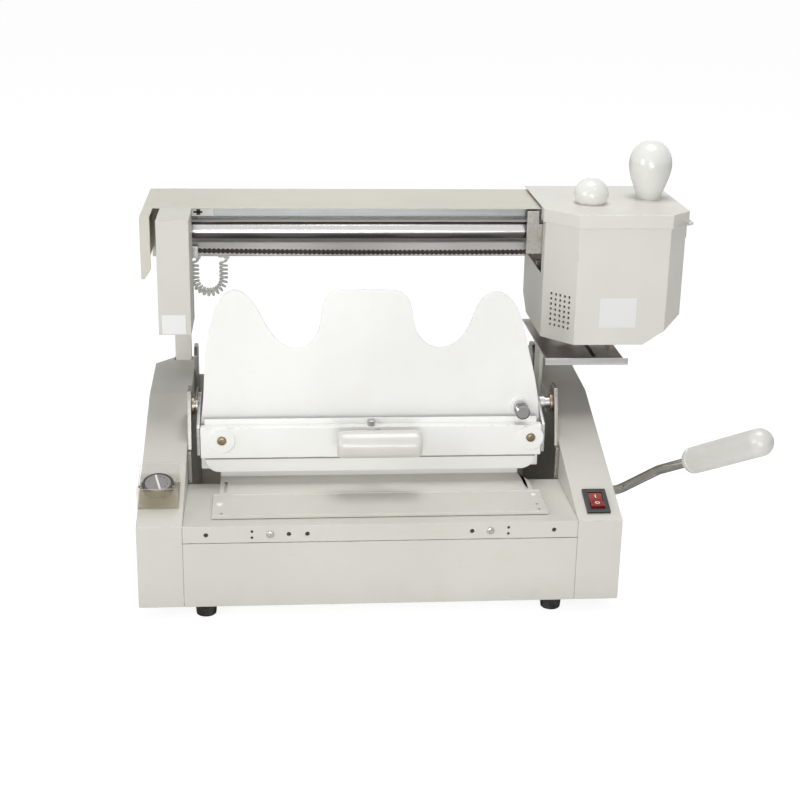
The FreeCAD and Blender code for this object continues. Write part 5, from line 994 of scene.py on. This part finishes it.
class BINDER_OT_clamp(bpy.types.Operator):
    """Wave plate, back bar, end brackets and the lock knob"""
    bl_idname = "binder.clamp"
    bl_label = "Swinging clamp"

    def execute(self, context):
        dress("wave_plate", 0.45, segments=3)
        dress_each((("clamp_back_bar", 0.8), ("clamp_end_brackets", 0.5)))
        low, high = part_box("lock_knob")
        middle = (low + high) / 2
        long = (high.y - low.y) / MM
        grooves = [(0, 0), (5.9, 0), (6.6, 0.5)]
        for index in range(GROOVES):
            start = 1.0 + index * GROOVE_STEP
            grooves += [(7.3, start), (7.3, start + 1.2), (6.8, start + 1.5)]
        grooves += [(7.3, 11.0), (6.7, 11.9), (3.0, 12.0), (3.0, long), (0, long)]
        settle(stood(lathe(grooves, 40), Vector((middle.x, low.y, middle.z)), Y_WAY), "lock_knob_turned",
               "knob_chrome", "lock", ("lock_knob",))
        return {"FINISHED"}


class BINDER_OT_jaw(bpy.types.Operator):
    """Front jaw with its bar, washers, spindle and handle"""
    bl_idname = "binder.jaw"
    bl_label = "Front jaw"

    def execute(self, context):
        dress("jaw_plate", 0.4)
        dress("jaw_bar", 1.0, segments=3)
        spots = [at(x, JAW_FRONT, PIN_HEIGHT) for x in PIN_SIDES]
        pins = [stood(lathe(PIN_PROFILE, 32), spot, Y_WAY) for spot in spots]
        pins.append(stood(lathe(STUD_PROFILE, 32), at(-5, 100.5, 160.5)))
        settle(joined(pins), "jaw_guide_pins_turned", "steel", "jaw", ("jaw_guide_pins",))
        washers = [stood(lathe(WASHER_PROFILE), spot, -Y_WAY) for spot in spots]
        settle(joined(washers), "jaw_washers", "washer_paint", "jaw")
        heads = [(at(x, WASHER_FACE, PIN_HEIGHT), -Y_WAY) for x in PIN_SIDES]
        screws("jaw_pin_screws", "jaw", heads, 4.3, 2.2, coat="dark_brass")
        low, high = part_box("clamp_spindle")
        long = (high.y - low.y) / MM
        thread = [(0, 0), (4.4, 0)]
        for index in range(int((long - THREAD_START - THREAD_END) / THREAD_PITCH)):
            start = THREAD_START + index * THREAD_PITCH
            thread += [(4.5, start), (4.5, start + 0.6), (3.9, start + 1.0), (3.9, start + 1.5)]
        thread += [(4.5, long - 1.0), (3.6, long), (0, long)]
        settle(stood(lathe(thread, 28), Vector(((low.x + high.x) / 2, low.y, (low.z + high.z) / 2)), Y_WAY),
               "clamp_spindle_thread", "steel", "screw", ("clamp_spindle",))
        low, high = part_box("spindle_handle")
        middle, long = (low + high) / 2, (high.x - low.x) / MM
        half = [(0, 0.25), (4.5, 0.1), (8.2, 0), (10.6, 0.5), (12.4, 1.9), (13.3, 4.2), (HANDLE_RADIUS, 7.5),
                (HANDLE_RADIUS, long / 2 - 0.25)]
        profile = half + [(HANDLE_RADIUS - 0.12, long / 2)] + [(across, long - up) for across, up in reversed(half)]
        settle(stood(lathe(profile, FINE), Vector((low.x, middle.y, middle.z)), X_WAY), "spindle_handle_grip",
               "grip_plastic", "screw", ("spindle_handle",))
        return {"FINISHED"}


# Press lever

GRIP_START, GRIP_TIP, GRIP_RADIUS, DOME_STEPS = (300, 24.3, 147.4), (336.5, -60, 197.5), 13, 12
GRIP_COLLAR = ((4.9, -0.2), (9.6, 0), (11.4, 0.7), (12.5, 2.2), (12.9, 4.6), (12.9, 7.4), (12.3, 7.9), (12.3, 8.9),
               (12.9, 9.4), (13.0, 14))


class BINDER_OT_lever(bpy.types.Operator):
    """Bent lever rod and its round-ended grip"""
    bl_idname = "binder.lever"
    bl_label = "Press lever"

    def execute(self, context):
        dress("press_lever_rod", 0.0, "lever_chrome")
        start, tip = at(*GRIP_START), at(*GRIP_TIP)
        long = (tip - start).length / MM
        profile = list(GRIP_COLLAR)
        for step in range(DOME_STEPS):
            angle = math.pi / 2 * step / DOME_STEPS
            profile.append((GRIP_RADIUS * math.cos(angle), long + GRIP_RADIUS * math.sin(angle)))
        profile.append((0, long + GRIP_RADIUS))
        settle(stood(lathe(profile, FINE), start, (tip - start).normalized()), "lever_grip_moulding", "grip_plastic",
               "lever", ("lever_grip",))
        return {"FINISHED"}


# Controls

DIAL_PLACE, DIAL_TURN, FIGURE_REACH, FIGURE_LEVEL = (-212, 46), 14, 9.0, 16.52
COVER_SCREWS, SEAT_PLACE = ((-227.2, 30.4, 24.2), (-195.8, 30.4, 24.2)), (-211.4, 46, 0.05)
ROCKER_X, ROCKER_TILT = 209.6, -14
INLET_X, INLET_Z, INLET_PINS = 120, 60, ((-7, -2), (7, -2), (0, 4))


def digit(text, high, thick):
    """One raised figure, standing flat at zero."""
    curve = bpy.data.curves.new("figure", "FONT")
    curve.body, curve.size, curve.extrude = text, high * MM, thick * MM
    curve.align_x, curve.align_y = "CENTER", "CENTER"
    carrier = placed("figure", curve)
    bpy.context.view_layer.update()
    data = bpy.data.meshes.new_from_object(carrier.evaluated_get(bpy.context.evaluated_depsgraph_get()))
    mesh = fresh()
    mesh.from_mesh(data)
    bpy.data.objects.remove(carrier)
    bpy.data.curves.remove(curve)
    bpy.data.meshes.remove(data)
    bmesh.ops.remove_doubles(mesh, verts=mesh.verts, dist=TINY)
    return mesh


def dial_parts():
    """Knob of the thermostat, laid flat at zero: fluted skirt, dark ring, grey face and pointer bar."""
    knob = lathe([(0, 8.6), (12.5, 8.6), (12.5, 15.9), (12.1, 16.4), (0, 16.6)], FINE)
    ring = lathe([(12.52, 8), (14.2, 8), (15, 8.6), (15, 15.6), (14.6, 16.1), (13.2, 16.2), (12.52, 15.6),
                  (12.52, 8)], FINE)
    bar = shifted(brick(1.9, 23, 0.45, 0.2), Matrix.Translation((0, 0, 16.5 * MM)))
    return knob, ring, shifted(bar, Matrix.Rotation(math.radians(DIAL_TURN), 4, "Z"))


class BINDER_OT_controls(bpy.types.Operator):
    """Thermostat with its dial and clear cover, rocker switch and mains inlet"""
    bl_idname = "binder.controls"
    bl_label = "Controls"

    def execute(self, context):
        dress("thermostat", 0.4)
        dress("dial_cover", 0.45, segments=3)
        dress("switch_bezel", 0.6, segments=3)
        dress_each((("power_rocker", 0.4), ("power_inlet", 0.5)))
        knob, ring, bar = dial_parts()
        settle(tilted(knob, *DIAL_PLACE, 0), "thermostat_knob", "grey_plastic", "dial", ("thermostat_dial",))
        settle(tilted(ring, *DIAL_PLACE, 0), "thermostat_ring", "mark_black", "dial")
        settle(tilted(bar, *DIAL_PLACE, 0), "thermostat_pointer", "mark_white", "dial")
        figures = []
        for index in range(9):
            angle = math.radians(200 - index * 30)
            spot = Vector((FIGURE_REACH * math.cos(angle), FIGURE_REACH * math.sin(angle), FIGURE_LEVEL)) * MM
            figures.append(tilted(shifted(digit(str(index + 1), 2.5, 0.08), Matrix.Translation(spot)),
                                  *DIAL_PLACE, 0))
        settle(joined(figures), "thermostat_figures", "mark_black", "dial")
        outward = (on_slope(0, 0, 1) - on_slope(0, 0, 0)).normalized()
        corners = [(on_slope(*place), outward) for place in COVER_SCREWS]
        screws("dial_cover_screws", "frame", corners, 1.9, 0.8, coat="dark_brass")
        settle(tilted(brick(38, 38, 0.8, 0.3), *SEAT_PLACE), "dial_seat", "grey_plastic", "frame")
        stroke = tilted(brick(1.0, 4.4, 0.25), ROCKER_X, 32.4, 2.85)
        ring = lathe([(1.5, 0), (2.4, 0), (2.4, 0.25), (1.5, 0.25), (1.5, 0)], 28)
        ring = tilted(shifted(ring, Matrix.Rotation(math.radians(ROCKER_TILT), 4, "X")), ROCKER_X, 21.4, 4.2)
        settle(joined([stroke, ring]), "rocker_marks", "mark_white", "rocker")
        pins = [slab((INLET_X + x - 1, 285, INLET_Z + z - 3), (INLET_X + x + 1, 301, INLET_Z + z + 3), 0.4)
                for x, z in INLET_PINS]
        settle(joined(pins), "inlet_pins", "brass", "frame")
        return {"FINISHED"}


REAR_WALL, BEAM_REAR, BEAM_TOP = 305, 302, 358.1


class BINDER_OT_fasteners(bpy.types.Operator):
    """Screws of the strip, the rear wall, the beam's rear and the beam's top"""
    bl_idname = "binder.fasteners"
    bl_label = "Fasteners"

    def execute(self, context):
        low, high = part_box("front_screws")
        radius = (high.z - low.z) / 2
        strip = [(Vector((x, LAYOUT_Y, (low.z + high.z) / 2)), -Y_WAY) for x in (low.x + radius, high.x - radius)]
        screws("strip_screws", "frame", strip, 3.55, 1.6, replaces=("front_screws",))
        rear = [(at(x, REAR_WALL, z), Y_WAY) for x in (-176, -60, 60, 176) for z in (24, 140) if (x, z) != (60, 24)]
        rear += [(at(x, BEAM_REAR, z), Y_WAY) for x in (-100, 0, 100, 200, 280) for z in (292, 352)]
        screws("rear_screws", "frame", rear, 3.0, 1.7)
        top = [(at(x, y, BEAM_TOP), Z_WAY) for x, y in ((-200.6, 214), (-222, 290), (100, 290))]
        screws("beam_top_screws", "frame", top, 2.6, 0.9)
        return {"FINISHED"}


# Painted shade: dark sheets behind the front strip's holes, under the tray's slot, and in the seams beside the front
# panel, where shade falls.
PAINTED_SHADE_BACKINGS = (((-180, 1.6, 83), (180, 2.2, 94), 0.1), ((224, 153, 210.6), (232, 297, 211.2), 0.1),
            ((-188.55, 0.3, 15), (-187.45, 1.2, 96)), ((187.1, 0.3, 15), (188.9, 1.2, 96)))
VENT_MIDDLE, VENT_WAY, VENT_DEPTH = (189.5, 163.5, 261), (-0.75, -0.66, 0), 2.6
NIP_PEGS = (((3.2, 1.4, 20), (-154.2, 44, 101)), ((2.4, 1.0, 50), (154, 58, 101)))


class BINDER_OT_trim(bpy.types.Operator):
    """Painted shade: dark sheets behind holes, vents and seams and under the tray's slot; a painted shadow below the
    jaw's bar; the tray's lip and the nip plate's pegs
    """
    bl_idname = "binder.trim"
    bl_label = "Trim"

    def execute(self, context):
        settle(joined(slab(*corners) for corners in PAINTED_SHADE_BACKINGS), "dark_backing", "mark_black", "frame")
        # Painted shade: a dark sheet behind the head's vents.
        outward = Vector(VENT_WAY).normalized()
        vents = stood(brick(34, 44, 0.4), at(*VENT_MIDDLE) - outward * VENT_DEPTH * MM, outward)
        settle(vents, "vent_backing", "mark_black", "head")
        # Painted shadow under the jaw's bar, and the tray's lip.
        plates("jaw_seam", "tray_lip")
        pegs = (stood(screw_head(*size), at(*place)) for size, place in NIP_PEGS)
        settle(joined(pegs), "nip_plate_pegs", "washer_paint", "nip")
        return {"FINISHED"}


class BINDER_OT_labels(bpy.types.Operator):
    """Bare label plates"""
    bl_idname = "binder.labels"
    bl_label = "Labels"

    def execute(self, context):
        plates("column_label", "rear_label")
        return {"FINISHED"}


OPERATORS = (BINDER_OT_stage, BINDER_OT_cord, BINDER_OT_casings, BINDER_OT_feet, BINDER_OT_gantry, BINDER_OT_chain,
             BINDER_OT_head, BINDER_OT_glue_works, BINDER_OT_clamp, BINDER_OT_jaw, BINDER_OT_lever,
             BINDER_OT_controls, BINDER_OT_fasteners, BINDER_OT_trim, BINDER_OT_labels)


class BINDER_PT_panel(bpy.types.Panel):
    """Lists the binding machine's pieces and settings"""
    bl_idname = "BINDER_PT_panel"
    bl_label = "Binding Machine"
    bl_space_type = "VIEW_3D"
    bl_region_type = "UI"
    bl_category = "Binder"

    def draw(self, context):
        column = self.layout.column()
        for name in BinderSettings.__annotations__:
            column.prop(settings(), name)
        for operator in OPERATORS:
            column.operator(operator.bl_idname)


CLASSES = (BinderSettings, *OPERATORS, BINDER_PT_panel)


def register():
    for made in CLASSES:
        bpy.utils.register_class(made)
    setattr(bpy.types.Scene, SETTINGS, PointerProperty(type=BinderSettings))


def unregister():
    delattr(bpy.types.Scene, SETTINGS)
    for made in reversed(CLASSES):
        bpy.utils.unregister_class(made)


def main():
    register()
    for operator in OPERATORS:
        group, name = operator.bl_idname.split(".")
        getattr(getattr(bpy.ops, group), name)()


if __name__ == "__main__":
    main()
